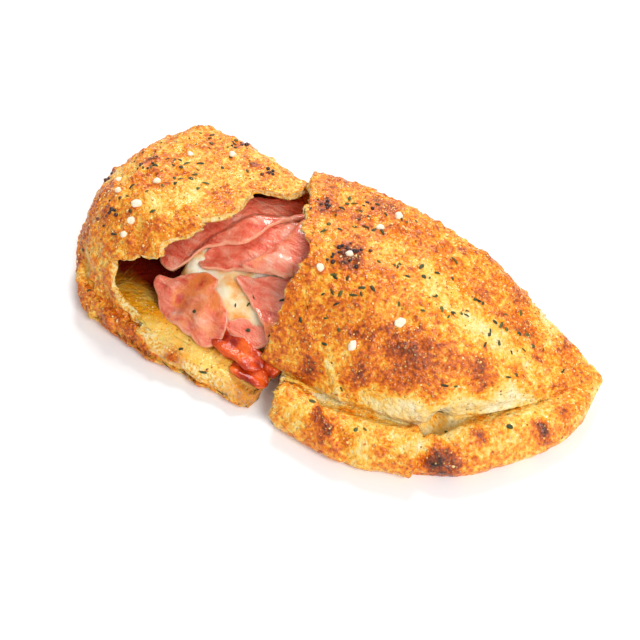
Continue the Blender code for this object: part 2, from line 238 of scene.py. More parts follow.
def on_closed_curve(knots, u):
    """The point at knot number u of a smooth closed curve through the knots."""
    k = int(u) % KNOTS
    f = u - math.floor(u)
    p0, p1, p2, p3 = knots[k - 1], knots[k], knots[(k + 1) % KNOTS], knots[(k + 2) % KNOTS]
    return [
        0.5 * (2 * b + (c - a) * f + (2 * a - 5 * b + 4 * c - d) * f * f + (3 * b - a - 3 * c + d) * f ** 3)
        for a, b, c, d in zip(p0, p1, p2, p3)
    ]


print("The crease is knot 5; in the left half's widest row it is at y, z =", outer_knots(LEFT_ROWS[5])[5])

# %% [markdown]
# ## The two halves
# Each half keeps its rows, its torn edge and its closed tip. A crust this size has tens of thousands
# of vertices, so the rows are read once, every half millimetre, and looked up from then on.

# %% One half of the crust
STEP = 0.5


def torn_line(tear, u, seed):
    """x of the torn edge at knot u: the table, with bites and teeth as bread tears."""
    xs, ys = zip(*tear)
    at = Vector((u, seed, 0))
    teeth = 0.4 - 1.6 * abs(noise.noise(at * 4.7)) - 1.2 * abs(noise.noise(at * 11.3))
    bites = 1.1 * noise.noise(at * 2.3) + 2.2 * teeth * between(-0.35, 0.3, noise.noise(at * 1.7))
    return smooth_through(xs, ys, u) + bites


class Half:
    """One half: its outer and inner knots every half millimetre, and the way its torn end opens."""

    def __init__(self, name, rows, tear, tip, seed):
        self.name, self.tip, self.seed, self.tear = name, tip, seed, tear
        self.opens = 1 if tip < 0 else -1
        self.start = rows[0].x
        xs = [row.x for row in rows]
        columns = list(zip(*rows))
        sections = [Section(*[smooth_through(xs, column, self.start + i * STEP) for column in columns])
                    for i in range(round((rows[-1].x - rows[0].x) / STEP) + 1)]
        self.outer = [outer_knots(s) for s in sections]
        self.inner = [inner_knots(s) for s in sections]

    def point(self, knot_rows, x, u, lowest):
        """The point at knot number u of the cross-section at x, no lower than lowest."""
        at = min(max((x - self.start) / STEP, 0), len(knot_rows) - 1.001)
        k = int(at)
        y0, z0 = on_closed_curve(knot_rows[k], u)
        y1, z1 = on_closed_curve(knot_rows[k + 1], u)
        return Vector((x, y0 + (y1 - y0) * (at - k), max(z0 + (z1 - z0) * (at - k), lowest)))

    def inside_height(self, x, y):
        """Height of the pocket's roof over (x, y), or 0 beside the pocket."""
        at = min(max((x - self.start) / STEP, 0), len(self.inner) - 1)
        knots = self.inner[round(at)][3:12]
        if y <= knots[0][0] or y >= knots[-1][0]:
            return 0.0
        for (y0, z0), (y1, z1) in zip(knots, knots[1:]):
            if y < y1:
                return z0 + (z1 - z0) * (y - y0) / (y1 - y0)
        return 0.0


LEFT = Half("left", LEFT_ROWS, LEFT_TEAR, LEFT_ROWS[0].x, 3.7)
RIGHT = Half("right", RIGHT_ROWS, RIGHT_TEAR, RIGHT_ROWS[-1].x, 8.2)
print("Cross-sections read:", len(LEFT.outer), "left and", len(RIGHT.outer), "right")

# %% [markdown]
# ## Folds of the crimp
# The front edge is pinched shut pleat by pleat. Each pleat is laid over the one before it, so it
# climbs slowly and then drops sharply into a fold. A fold is a line on the rim, from the crease out
# to the edge, and slants to the right. It could be sculpted by hand; as a rule for the height at any
# point of the rim it needs only the ends of the line and a depth.

# %% Folds and dents
# Inner end (x, y), outer end (x, y) and depth.
FOLDS = [
    ((33, -36), (57, -51), 2.2), ((78, -24), (84, -43), 4.4), ((76, -24.3), (94, -29.5), 2.0),
    ((97, -13), (108, -23), 0.8), ((108, 9), (122, -1), 0.7),
]
# The gap where a pleat pulled loose, and smaller dents: place, radius and depth.
MOUTH = Vector((84, -20, 12.5))
DENTS = [(MOUTH, 4.2, 8.0), (Vector((75, -24, 12)), 4.0, 1.5), (Vector((90, -14, 12)), 4.0, 1.5)]
# A thread of dough stuck to the flank.
THREAD = ((35, -28), (41, -30.5), (46, -32.5))


def off_thread(p):
    """Distance to the thread, seen from above."""
    x = min(max(p.x, THREAD[0][0]), THREAD[-1][0])
    xs, ys = zip(*THREAD)
    return math.hypot(p.x - x, p.y - smooth_through(xs, ys, x))


def fold_height(p):
    """How far the pleats stand proud of the rim or sink below it, in mm."""
    height = 0.0
    for (ax, ay), (bx, by), depth in FOLDS:
        run = Vector((bx - ax, by - ay))
        to = Vector((p.x - ax, p.y - ay))
        along = to.dot(run) / run.length_squared
        past = (to.y * run.x - to.x * run.y) / run.length + 1.2 * swell(p, 9, 7)
        inside = between(-0.35, 0.15, along) * (1 - between(0.75, 1.4, along))
        fallen = between(-1.5, 1.5, past)
        crest = 0.6 * math.exp(min(past, 0.0) / 6.0)
        valley = math.exp(-max(past, 0.0) / 3.6)
        height += depth * inside * (crest * (1 - fallen) - valley * fallen)
    return height


print("Folds in the crimp:", len(FOLDS), "and dents:", len(DENTS))

# %% [markdown]
# ## Browning, and some painted light
# Dough browns where it stands proud and near the top of the oven, and stays pale in folds and low on
# the flanks. Noise alone would brown it evenly all over, so a number from 0, raw and pale, to 1,
# charred, goes with every vertex, and the material turns it into colour. It is a named attribute on
# the mesh, so it stays with the surface. The number also carries painted light: a few paler patches
# are painted sheen and highlight, and a darker tone in the crease groove and in the gap of the crimp
# is painted shade.

# %% Browner and paler patches
# Middle (x, y), radius in mm and how much browner.
RIGHT_PATCHES = [
    # the flank below the ridge; the two small paler patches near x = 33 are painted highlight
    (41.7, -17, 2.6, 0.22), (60.2, -12.8, 6, 0.14), (49.9, -26.6, 4.5, 0.18), (29.1, -30.6, 3.4, 0.2),
    (71, -8, 7, 0.1), (66, -17, 5.5, 0.12), (55, -17, 10, 0.07), (34.8, -24.9, 5, -0.07),
    (33, -13, 5, -0.05), (88.6, -2.4, 3.6, 0.2),
    # the top and the back; the three broad paler patches at y = 11 to 15 are painted sheen of oil
    (23, 7.7, 4.5, 0.3), (27.6, 3, 4, 0.24), (1.4, 22.5, 4.5, 0.34), (-0.3, 29, 3.5, 0.26),
    (33, 30.7, 6, 0.12), (20, 38, 7, 0.12), (103.4, 23.4, 4.5, 0.24), (102, 10.2, 4, 0.24),
    (76.3, 11.2, 8, -0.27), (61.2, 13.4, 8, -0.18), (88, 15, 7, -0.24), (96, 30, 5, 0.14),
    # the rim
    (42.3, -44.8, 3.5, 0.32), (47.6, -47.9, 4, 0.34), (57, -48.5, 4.5, 0.22), (70, -44, 4, 0.1),
    (94.7, -33.1, 5.5, 0.34), (88, -37, 5, 0.3), (99.6, -19.5, 2.6, 0.42), (118.3, -1.1, 3.6, 0.42),
    (121.4, 11.3, 3.4, 0.34), (126, 22, 4, 0.25), (81.6, -35, 4, -0.34), (24, -45, 5, -0.14),
    (37, -28.2, 4, -0.14), (113, 25, 5, -0.13), (124, 13, 3, 0.08), (93.5, -37, 5, 0.1),
    (111, -9, 4, -0.08),
]
# Some of the paler patches on the left half's top are painted sheen of oil.
LEFT_PATCHES = [
    (-84.1, 6.8, 3.6, 0.34), (-81.9, -24.2, 4, 0.32), (-56.6, -29.8, 4, 0.3), (-43.9, 33.7, 3.5, 0.3),
    (-35.2, 31, 3.5, 0.26), (-61, 45, 4, 0.3), (-75.6, 12.5, 5, 0.2), (-64, 10, 4, 0.1),
    (-44.2, 2.2, 5, 0.12), (-70.2, 21, 5, -0.14), (-56.5, -1.5, 8, -0.16), (-44.3, 16, 7, -0.14),
    (-30.5, 8.8, 5, -0.12), (-64.6, -13.2, 5, -0.12), (-96, -34.5, 6, 0.1), (-60, -51, 8, 0.08),
    (-50, -54, 6, 0.12), (-75, -44, 6, -0.06), (-91, -36, 7, -0.14), (-69.5, 12.6, 4, -0.14),
    (-61, -17, 6, -0.06), (-73, 30, 7, 0.08), (-104, 8, 7, 0.14), (-94.6, -12, 6, 0.12),
    (-61, -24, 5, -0.06),
]


def browning_and_painted_light(half, p, u, height):
    """How brown the dough is, from 0 to 1, where its relief is height mm, with painted sheen and painted
    shade added in places.
    """
    height = max(height, -1.5)
    mottle = 0.15 * swell(p, 15, 11) + 0.11 * swell(p, 6, 13) + 0.08 * swell(p, 2.6, 17)
    if half is RIGHT:
        pale_to = 12 + 11 * between(28, 66, p.x) - 12 * between(100, 114, p.x)
        flank = between(pale_to - 5, pale_to + 6, p.z + 4 * swell(p, 11, 4))
        rim = 1 - between(4.75, 5.15, u)
        tone = (0.07 + 0.38 * flank) * (1 - rim) + rim * (0.33 + 0.06 * height)
        # The crease groove darker: partly browning, partly painted shade in the groove.
        tone += 0.2 * hill(u - 5.03, 0.05) * (1 - between(112, 124, p.x))
        # The gap in the crimp darker: painted shade of the hollow.
        tone += 0.2 * hill((p - MOUTH).length, 3)
        patches = RIGHT_PATCHES
    else:
        wall = 1 - between(4.4, 5.6, u)
        tone = 0.38 * (1 - wall) + 0.45 * wall
        patches = LEFT_PATCHES
    for x, y, radius, more in patches:
        tone += more * mound(p.x, p.y, x, y, radius)
    if half is RIGHT and 5 < u < 7:
        tone -= 0.3 * hill(off_thread(p), 0.8)
    tone += mottle + 0.06 * height * (0 if u < 4.8 else 1)
    under = 1 - between(0.0, 2.0, p.z)
    return min(max(tone * (1 - under) + 0.45 * under, 0.0), 1.0)


print("Browner and paler patches:", len(RIGHT_PATCHES), "right and", len(LEFT_PATCHES), "left")

# %% [markdown]
# ## Relief of the baked dough
# Broad swells come from proving, blisters a few millimetres wide from steam, and the fine roughness
# from coarse flour. The lower edge of the top crust bulges over the crease, which is a groove. All of
# it is one rule for the height at a point, which moves the real vertices: light from the side and the
# outline of the loaf show it, and a bump in the material would do neither.

# %% Relief
def relief(half, p, u):
    """How far the outside stands proud of the smooth shape, in mm."""
    top = between(5.2, 6.2, u) * (1 - between(11.2, 12.2, u))
    low = swell(p, 26, 3)
    mid = swell(p, 9, 5)
    blister = max(0.0, swell(p, 5.5, 31)) ** 1.5
    fine = swell(p, 3.2, 8)
    grain = swell(p, 1.5, 2)
    if half is LEFT:
        end = 1 - between(0, 36, p.x - half.tip)
        wall = between(0.8, 1.6, u) * (1 - between(4.8, 6.4, u))
        pucker = 1 - 2.2 * abs(noise.noise(Vector((p.x / 5, p.y / 7, p.z / 26))))
        crack = 1 - 3 * abs(noise.noise(Vector((p.x / 9 + 4, p.y / 17, p.z / 12))))
        height = 1.4 * low + 1.1 * mid + 2.2 * blister + 0.75 * fine + 0.4 * grain + 0.5 * max(-1, crack)
        return height + (0.8 * end + 0.6 * wall) * pucker
    rim = between(0.6, 1.6, u) * (1 - between(4.8, 5.3, u))
    behind = between(7.4, 8.6, u) * (1 - between(10.6, 11.6, u))
    height = (0.8 * low + 0.6 * mid + (0.6 + 1.6 * behind) * blister) * (0.4 + 0.6 * top)
    height += (0.75 * fine + 0.42 * grain) * (0.35 + 0.65 * behind) + 0.15 * grain
    pulled = noise.noise(Vector((p.x / 30, p.y / 3.6, p.z / 6)))
    height += 0.6 * pulled * behind + 0.25 * (1 - 2 * abs(pulled)) * top * (1 - behind)
    height += rim * fold_height(p)
    height += 1.6 * hill(p.x - 26, 5) * rim * between(-60, -40, -abs(p.y))
    inward = between(0, 14, half.tip - p.x)
    height += (1.7 * hill(u - 5.4, 0.2) - 2.3 * hill(u - 5.03, 0.07)) * inward
    if u > 5:
        height += 0.8 * hill(off_thread(p), 0.7)
    for place, radius, depth in DENTS:
        height -= depth * hill((p - place).length, radius)
    return height


on_top = RIGHT.point(RIGHT.outer, 40, 8, 0)
print("Relief on the right half's ridge:", round(relief(RIGHT, on_top, 8), 2), "mm")

# %% [markdown]
# ## Building a crust half
# Each half is a pocket, closed at one end and torn open at the other. A ball with one half pushed
# into the other is such a pocket, so each half starts as one sphere: its lower rings are the outside,
# its upper rings the inside, and the few rings between them the torn edge. Both poles are closed from
# the start. Then every vertex is moved: its turn round the sphere says where it goes on the
# cross-section, and its ring says how far along the loaf.

# %% Rings and spokes
# Faces per knot span: most go where the dough is seen, few to the flat underside.
SPANS = [8, 18, 26, 16, 18, 26, 42, 36, 32, 28, 24, 20, 8, 6, 6]
SPOKES = sum(SPANS)
KNOT_OF = [k + i / count for k, count in enumerate(SPANS) for i in range(count)]
OUTER_RINGS = 190
TORN_RINGS = 8
INNER_RINGS = 50
RINGS = OUTER_RINGS + TORN_RINGS + INNER_RINGS
print("Faces round the loaf:", SPOKES)


def along_share(t):
    """Way from the pole, 0 to 1, as a way along the loaf: finer rings where the end curves round."""
    return 0.5 * t + 0.5 * (1 - math.cos(t * math.pi / 2))


# %% Places before the relief
# How much solid dough there is at the closed end, in mm.
POCKET_END = 14


def torn_edges(half):
    """For every spoke: x of the torn edge outside and inside, and 1 where it is the pulled-down flap."""
    outer = [torn_line(half.tear, u, half.seed) for u in KNOT_OF]
    lips = [0.3 + 2.6 * max(0.0, noise.noise(Vector((u * 2.3, half.seed, 9))) + 0.1) for u in KNOT_OF]
    inner = [x + half.opens * lip for x, lip in zip(outer, lips)]
    flap = [between(-44, -34, x) if half is LEFT and u < 4 else 0.0 for x, u in zip(outer, KNOT_OF)]
    return outer, inner, flap


def trough_height(p):
    """The cheesy slope inside the left half, from the front wall down to the filling."""
    from_wall = between(-19, -44, p.y)
    reach = between(-88, -72, p.x) * (1 - 0.55 * between(-52, -24, p.x)) * (1 - between(-2, 10, p.x))
    return WALL + (10 * from_wall + swell(p, 10, 6)) * reach


def inner_place(half, edges, spoke, share):
    """A point of the inner skin, which draws close to the outer one near the tear."""
    inner, flap = edges[1:]
    start = half.tip + half.opens * POCKET_END
    x = start + (inner[spoke] - start) * share
    u = KNOT_OF[spoke]
    thin = (0.5 - 0.25 * flap[spoke] - 0.2 * between(5.5, 6.3, u)) * hill(inner[spoke] - x, 9)
    place = half.point(half.inner, x, u, WALL).lerp(half.point(half.outer, x, u, 0.0), thin)
    if half is LEFT and place.z < 15:
        place.z = max(place.z, trough_height(place))
    return place


def smooth_place(half, edges, spoke, ring):
    """Where a vertex goes before it gets its relief, and which skin it belongs to."""
    outer, flap = edges[0], edges[2]
    u = KNOT_OF[spoke]
    if ring <= OUTER_RINGS:
        x = half.tip + (outer[spoke] - half.tip) * along_share(ring / OUTER_RINGS)
        return half.point(half.outer, x, u, 0.0), "outside"
    if ring >= OUTER_RINGS + TORN_RINGS:
        return inner_place(half, edges, spoke, along_share((RINGS - ring) / INNER_RINGS)), "inside"
    t = (ring - OUTER_RINGS) / TORN_RINGS
    a = half.point(half.outer, outer[spoke], u, 0.0)
    b = inner_place(half, edges, spoke, 1.0)
    swollen = Vector((0, 0, 1.6 * flap[spoke] * math.sin(math.pi * t)))
    return a.lerp(b, t) + swollen, "torn"


left_edges = torn_edges(LEFT)
print("The left half is torn between x =", [round(end(left_edges[0]), 1) for end in (min, max)], "mm")

# %% Relief and attributes of each skin
# A scorched spot on the edge of the flap: (x, y) and radius.
FLAP_SPOT, FLAP_SPOT_SIZE = (-27.5, -52), 4.5


def off_smooth(half, p, normal, u, zone):
    """How far a vertex moves off the smooth shape, how brown it is, and how milky its cheese is."""
    if zone == "outside":
        height = relief(half, p, u)
        return normal * height * between(0.0, 1.5, p.z), browning_and_painted_light(half, p, u, height), 0.0
    scorched = 1.2 * hill(math.dist(p.xy, FLAP_SPOT), FLAP_SPOT_SIZE)
    if zone == "torn":
        toasted = 0.7 * between(-10, 9, p.x) + scorched if half is LEFT and p.y < -30 else 0.0
        rough = 0.4 if half is LEFT and u < 3 else 0.9
        shift = Vector((swell(p, 2.2, 1), swell(p, 2.2, 4), swell(p, 2.2, 7))) * rough
        return shift + normal * (1.2 * swell(p, 5, 9)), toasted, 1.0
    milky = between(-35, -42, p.y) * between(-48, -36, p.x) if half is LEFT else 0.0
    # The inner skin keeps clear of the dent in the crease.
    behind_mouth = 8 * hill((p - MOUTH).length, 14)
    return normal * (0.5 * swell(p, 14, 21) + 0.3 * swell(p, 5, 23) + behind_mouth), scorched, milky


def crust_half(half):
    """The finished half: dough outside, crumb on the torn edge, and cheese and sauce inside."""
    bm = bmesh.new()
    bake, deep_sauce_and_shade, milky = [bm.verts.layers.float.new(name) for name in ("bake", "deep_sauce_and_shade", "milky")]
    bmesh.ops.create_uvsphere(bm, u_segments=SPOKES, v_segments=RINGS, radius=1)
    edges = torn_edges(half)
    zones = {}
    for v in bm.verts:
        spoke = round(math.atan2(v.co.y, v.co.x) / (2 * math.pi) * SPOKES) % SPOKES
        ring = round(math.acos(min(1.0, max(-1.0, -v.co.z))) / math.pi * RINGS)
        v.co, zone = smooth_place(half, edges, spoke, ring)
        zones[v] = (zone, KNOT_OF[spoke], ring, spoke)
    for v, (zone, u, ring, spoke) in zones.items():
        if ring in (0, RINGS):
            v.co = sum((e.other_vert(v).co for e in v.link_edges), Vector()) / len(v.link_edges)
    face_outward(bm)
    bm.normal_update()
    shifts = {}
    for v, (zone, u, ring, spoke) in zones.items():
        p = v.co
        shifts[v], v[bake], v[milky] = off_smooth(half, p, v.normal, u, zone)
        # Far in the pocket the inside turns dark red: partly sauce, partly painted shade of the hollow.
        v[deep_sauce_and_shade] = between(-32, -23, p.y + 2 * swell(p, 7, 3)) * (1 - between(-60, -44, p.x))
    for v, shift in shifts.items():
        v.co += shift
        v.co.z = max(v.co.z, 0.0)
        v.co = to_world(v.co)
    for f in bm.faces:
        last_ring = max(zones[v][2] for v in f.verts)
        on_flap = edges[2][zones[f.verts[0]][3]] > 0.5
        crumb_to = OUTER_RINGS + TORN_RINGS * (0.5 if on_flap else 1)
        f.material_index = 0 if last_ring <= OUTER_RINGS else 1 if last_ring <= crumb_to else 2
    print("crust", half.name, "has", len(bm.faces), "faces")
    return bm


# %% [markdown]
# ## Materials
# Every colour is an sRGB hex value, which one function turns into the linear numbers a shader needs.
# One more function adds a node: its kind, the output wanted from it, what goes into its sockets, which
# may be a value, a colour or another node's output, its colour stops and its settings. Patterns read
# the object's own coordinates, so their sizes are real ones, in millimetres.

# %% Colour and node helpers
def rgb(code):
    """An sRGB hex colour as linear red, green, blue and alpha."""
    parts = [int(code[i:i + 2], 16) / 255 for i in (1, 3, 5)]
    return [c / 12.92 if c <= 0.04045 else ((c + 0.055) / 1.055) ** 2.4 for c in parts] + [1.0]


def scale_for(size):
    """The scale of a pattern whose features are size mm wide."""
    return 1 / (size * MM)


def add_node(tree, kind, out, inputs=None, stops=(), **settings):
    """Add a node with its settings, sockets and colour stops, and return one of its outputs."""
    made = tree.nodes.new("ShaderNode" + kind)
    for name, value in settings.items():
        setattr(made, name, value)
    for key, value in (inputs or {}).items():
        if isinstance(value, bpy.types.NodeSocket):
            tree.links.new(value, made.inputs[key])
        else:
            made.inputs[key].default_value = rgb(value) if isinstance(value, str) else value
    if stops:
        elements = made.color_ramp.elements
        while len(elements) < len(stops):
            elements.new(1.0)
        for element, (place, code) in zip(elements, stops):
            element.position = place
            element.color = rgb(code)
    return made.outputs[out]


# A Mix node's colour sockets share their names with its number sockets, so they go by their numbers.
SHARE, FIRST, SECOND, RESULT = 0, 6, 7, 2


def uneven(tree, base, *patterns):
    """base made uneven by (pattern, amount) pairs. A pattern at its middle, 0.5, changes nothing."""
    for pattern, amount in patterns:
        centred = add_node(tree, "Math", 0, {0: pattern, 1: 0.5}, operation="SUBTRACT")
        base = add_node(tree, "Math", 0, {0: centred, 1: amount, 2: base}, operation="MULTIPLY_ADD")
    return base


def look(name, finish):
    """A material. finish takes its tree and the object coordinates, and gives the shader's inputs."""
    made = bpy.data.materials.new(name)
    made.use_nodes = True
    tree = made.node_tree
    tree.nodes.clear()
    where = add_node(tree, "TexCoord", "Object")
    shader = add_node(tree, "BsdfPrincipled", "BSDF", finish(tree, where))
    tree.links.new(shader, tree.nodes.new("ShaderNodeOutputMaterial").inputs["Surface"])
    return made


print("A golden crust, #f19412, is", [round(c, 3) for c in rgb("#f19412")], "to the shader")

# %% [markdown]
# ## Baked dough
# Bread dough browned in a hot oven and brushed with oil. It runs from cream where it stayed soft,
# through gold and orange, to nearly black where a blister caught. Brown, crusty parts are gritty, pale
# ones smooth, and grains of semolina a millimetre wide stick to it. One ramp turns the browning number
# of each vertex into colour, and noise of three sizes makes its edges ragged, as toasting is. Oil lies
# unevenly, so the gloss changes every few millimetres.

# %% Baked dough
BAKED = [
    (0.0, "#f4ecc2"), (0.12, "#f4dc94"), (0.26, "#f9c24a"), (0.4, "#f19412"), (0.53, "#dc6a02"),
    (0.66, "#b04a02"), (0.8, "#7a3204"), (0.92, "#4c2006"), (1.0, "#2a1206"),
]


def semolina(tree, where):
    """A pattern of round specks: some cells of a 1.5 mm pattern hold one."""
    from_middle = add_node(tree, "TexVoronoi", "Distance", {"Vector": where, "Scale": scale_for(1.5)})
    chance = add_node(tree, "SeparateColor", 0, {0: from_middle.node.outputs["Color"]})
    dot = add_node(tree, "ValToRGB", "Color", {"Fac": from_middle}, [(0.2, "#ffffff"), (0.38, "#000000")])
    chosen = add_node(tree, "ValToRGB", "Color", {"Fac": chance}, [(0.66, "#000000"), (0.8, "#ffffff")])
    return add_node(tree, "Mix", RESULT, {SHARE: chosen, FIRST: "#000000", SECOND: dot}, data_type="RGBA")


def baked_dough(tree, where):
    """Browned dough brushed with oil: colour set by how brown it is, strewn with pale semolina."""
    # The browning number, with the painted sheen, highlight and shade that it also carries.
    bake = add_node(tree, "Attribute", "Fac", attribute_name="bake")
    patch, grit, fine, film = [
        add_node(tree, "TexNoise", "Fac", {"Vector": where, "Scale": scale_for(size), "Detail": detail})
        for size, detail in ((4.0, 5), (1.6, 2), (0.7, 2), (8.0, 3))
    ]
    smooth = uneven(tree, bake, (patch, 0.3), (grit, 0.12))
    gritty = uneven(tree, bake, (patch, 0.5), (grit, 0.75), (fine, 0.3))
    crusty = add_node(tree, "ValToRGB", "Color", {"Fac": bake}, [(0.1, "#000000"), (0.34, "#ffffff")])
    tone = add_node(tree, "Mix", 0, {0: crusty, 2: smooth, 3: gritty})
    browned = add_node(tree, "ValToRGB", "Color", {"Fac": tone}, BAKED)
    specks = semolina(tree, where)
    dusting = add_node(tree, "Math", 0, {0: specks, 1: 0.5}, operation="MULTIPLY")
    bump = {}
    for height, depth, strength in ((patch, 1.5, 0.8), (grit, 1.2, 0.9), (specks, 0.4, 1.0)):
        bump["Normal"] = add_node(tree, "Bump", "Normal", {
            "Height": height, "Distance": depth * MM, "Strength": strength, **bump})
    return {
        "Base Color": add_node(tree, "Mix", RESULT, {SHARE: dusting, FIRST: browned, SECOND: "#f8cf80"},
                               data_type="RGBA"),
        "Roughness": add_node(tree, "ValToRGB", "Color", {"Fac": film}, [
            (0.35, "#606060"), (0.65, "#b4b4b4")]),
        "Subsurface Weight": 0.06, "Subsurface Scale": 1.5 * MM, "Specular IOR Level": 0.5, **bump,
    }


dough = look("baked dough", baked_dough)
print("Shades from raw to charred:", len(BAKED))

# %% [markdown]
# ## Torn crumb and greasy inside
# Where the crust is torn, its soft inside shows: pale, matt, open bread. The front flap's edge has been
# toasted again, so there the same ramp of baked colours is laid over it. The pocket's inside has soaked
# up melted cheese and oil, which makes it glossy and orange yellow. Far in, it turns dark red: partly
# sauce, and partly painted shade of the hollow. Both crumb and inside let light in a few millimetres, as
# bread and cheese do, so both have some subsurface.

# %% Torn crumb and greasy inside
def torn_crumb(tree, where):
    """The torn edge: soft pale bread, matt and full of small holes."""
    grain, blotch = [
        add_node(tree, "TexNoise", "Fac", {"Vector": where, "Scale": scale_for(size), "Detail": detail})
        for size, detail in ((1.4, 4), (5.0, 3))
    ]
    pale = add_node(tree, "ValToRGB", "Color", {"Fac": grain}, [
        (0.32, "#e8921e"), (0.42, "#fcc254"), (0.54, "#ffdc8c"), (0.68, "#ffeebc")])
    tone = uneven(tree, 0.46, (blotch, 1.0), (grain, 0.6))
    toasted = add_node(tree, "ValToRGB", "Color", {"Fac": tone}, BAKED)
    bake = add_node(tree, "Attribute", "Fac", attribute_name="bake")
    return {
        "Base Color": add_node(tree, "Mix", RESULT, {SHARE: bake, FIRST: pale, SECOND: toasted},
                               data_type="RGBA"),
        "Normal": add_node(tree, "Bump", "Normal", {"Height": grain, "Distance": 1.8 * MM, "Strength": 1.0}),
        "Roughness": 0.8, "Subsurface Weight": 0.1, "Subsurface Scale": 2 * MM,
    }


def greasy_inside(tree, where):
    """The pocket's inside: dough soaked with cheese and oil, dark red far in, partly sauce and partly painted
    shade.
    """
    blotch, char, wet = [
        add_node(tree, "TexNoise", "Fac", {"Vector": where, "Scale": scale_for(size), "Detail": detail})
        for size, detail in ((9.0, 4), (1.5, 3), (3.0, 3))
    ]
    bake, milky, deep_sauce_and_shade = [add_node(tree, "Attribute", "Fac", attribute_name=name)
                         for name in ("bake", "milky", "deep_sauce_and_shade")]
    oily = add_node(tree, "ValToRGB", "Color", {"Fac": blotch}, [
        (0.3, "#ff9a08"), (0.45, "#ffb020"), (0.6, "#ffd060"), (0.75, "#ffa610")])
    cheesy = add_node(tree, "ValToRGB", "Color", {"Fac": blotch}, [(0.35, "#ffb838"), (0.6, "#ffda74")])
    brown = add_node(tree, "ValToRGB", "Color", {"Fac": char}, [(0.4, "#8a3a10"), (0.6, "#d0701c")])
    colour = oily
    # The last layer, far in the pocket, is dark red: partly sauce, partly painted shade of the hollow.
    for share, over in ((milky, cheesy), (uneven(tree, bake, (blotch, 0.5)), brown), (deep_sauce_and_shade, "#7d1a0c")):
        colour = add_node(tree, "Mix", RESULT, {SHARE: share, FIRST: colour, SECOND: over}, data_type="RGBA")
    return {
        "Base Color": colour, "Roughness": 0.2, "Subsurface Weight": 0.3, "Subsurface Scale": 4 * MM,
        "Normal": add_node(tree, "Bump", "Normal", {"Height": wet, "Distance": 1.4 * MM, "Strength": 1.0}),
    }


crumb = look("torn crumb", torn_crumb)
greasy = look("greasy inside", greasy_inside)
print("Looks of the crust:", [each.name for each in (dough, crumb, greasy)])


# %% [markdown]
# ## Pieces in the frame
# A finished shape becomes an object at the origin, unturned, with its place in its vertices, as the
# frame's own solids have. It rides on the loaf's one body and has a slot for its look, and where a
# solid stands for it in the frame, it takes that solid's place. Each half of the crust is one piece
# with three looks, because a separate skin for each would leave seams.

# %% Make the crust pieces
def mesh_of(name, bm, looks=()):
    """A mesh made of a finished bmesh, with its materials."""
    mesh = bpy.data.meshes.new(name)
    bm.to_mesh(mesh)
    bm.free()
    for each in looks:
        mesh.materials.append(each)
    return mesh


def in_scene(name, content):
    """An object that shows a mesh, a lamp or a camera."""
    made = bpy.data.objects.new(name, content)
    bpy.context.scene.collection.objects.link(made)
    return made


def add_piece(name, bm, looks, node=None):
    """A piece from a finished bmesh. It rides on the one body, and may stand for a CAD node."""
    piece = in_scene(name, mesh_of(name, bm, looks))
    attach(piece, "root")
    if node:
        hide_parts(node)


# What a point dropped from above can land on.
SURFACES = {}
for half in (LEFT, RIGHT):
    crust_bm = crust_half(half)
    SURFACES[half.name] = BVHTree.FromBMesh(crust_bm)
    node = "crust_" + half.name
    add_piece(node + "_baked", crust_bm, [dough, crumb, greasy], node)

# %% [markdown]
# ## Filling
# Slices of cooked ham lie on a bed of melted mozzarella that slopes down to the torn front. A cloth
# simulation could drape them, but it would not lay them where they lie on the real one. Here the bed is
# a rule for the height at a place, and a slice rests on the highest of what is below it. Heights are
# read from a 1 mm grid, since each slice asks for those of all the slices under it.

# %% The heap's surface
class HeightMap:
    """A rule for the height at (x, y), read once on a 1 mm grid."""

    def __init__(self, rule, x_from, x_to, y_from, y_to):
        self.x_from, self.y_from = x_from, y_from
        self.rows = [[rule(x, y) for y in range(y_from, y_to + 1)] for x in range(x_from, x_to + 1)]

    def __call__(self, x, y):
        at_x = min(max(x - self.x_from, 0), len(self.rows) - 1.001)
        at_y = min(max(y - self.y_from, 0), len(self.rows[0]) - 1.001)
        i, j = int(at_x), int(at_y)
        f, g = at_x - i, at_y - j
        a, b = self.rows[i], self.rows[i + 1]
        return (a[j] * (1 - g) + a[j + 1] * g) * (1 - f) + (b[j] * (1 - g) + b[j + 1] * g) * f


def smaller(a, b, blend=4.0):
    """The smaller of two heights, rounded off where they cross."""
    return 0.5 * (a + b - math.hypot(a - b, blend))


def under_crust(x, y):
    """Height of the crust's inside over (x, y); it lifts away steadily where a half is torn off."""
    front = min(max(-y / 8, 0.0), 1.0)
    left = LEFT.inside_height(min(x, -16), y)
    left += max(0.0, x + 16) + front * 2 * max(0.0, x + 66)
    right = RIGHT.inside_height(max(x, -18), y)
    right += max(0.0, -18 - x) + front * 2 * max(0.0, 14 - x)
    return min(left, right)


ceiling = HeightMap(under_crust, -70, 116, -56, 56)


def heap(x, y, hang=0.0):
    """The filling's surface before the slices: high at the back, sloping down to the torn front.

    A slice that hangs over the heap's left end, by a share of 0 to 1, stays that much higher there.
    """
    slope = smaller(33.5 + 0.62 * (y - 2), 39.0, 6.0)
    slope = smaller(slope, ceiling(x, y) - 8.5)
    front_gap = 2.5 * math.exp(-((x + 22) ** 2 + (y + 22) ** 2) / 90)
    left_end = 0.14 * max(0.0, -46 - x) ** 2
    return -smaller((1 - hang) * left_end - slope - front_gap, -7.5, 2.0)


print("Surface of the heap at its middle:", round(heap(0, 0), 1), "mm above the plate")

# %% [markdown]
# ## A slice
# A slice of ham is soft and about two millimetres thick. A grid cut to its outline would leave a ragged
# border, so it is a sphere pressed flat instead: the sphere's rings become evenly spaced rings of the
# outline, and its equator is the slice's edge, which comes out rounded and closed.

# %% Slices and their outlines
# Air between two slices, and how far past a slice's edge the next one is still held up, in mm.
GAP = 0.7
DRAPE = 5.0
# An outline is read at this many angles, and its heights this many mm past its corners.
TURN_STEPS = 720
MARGIN = 8


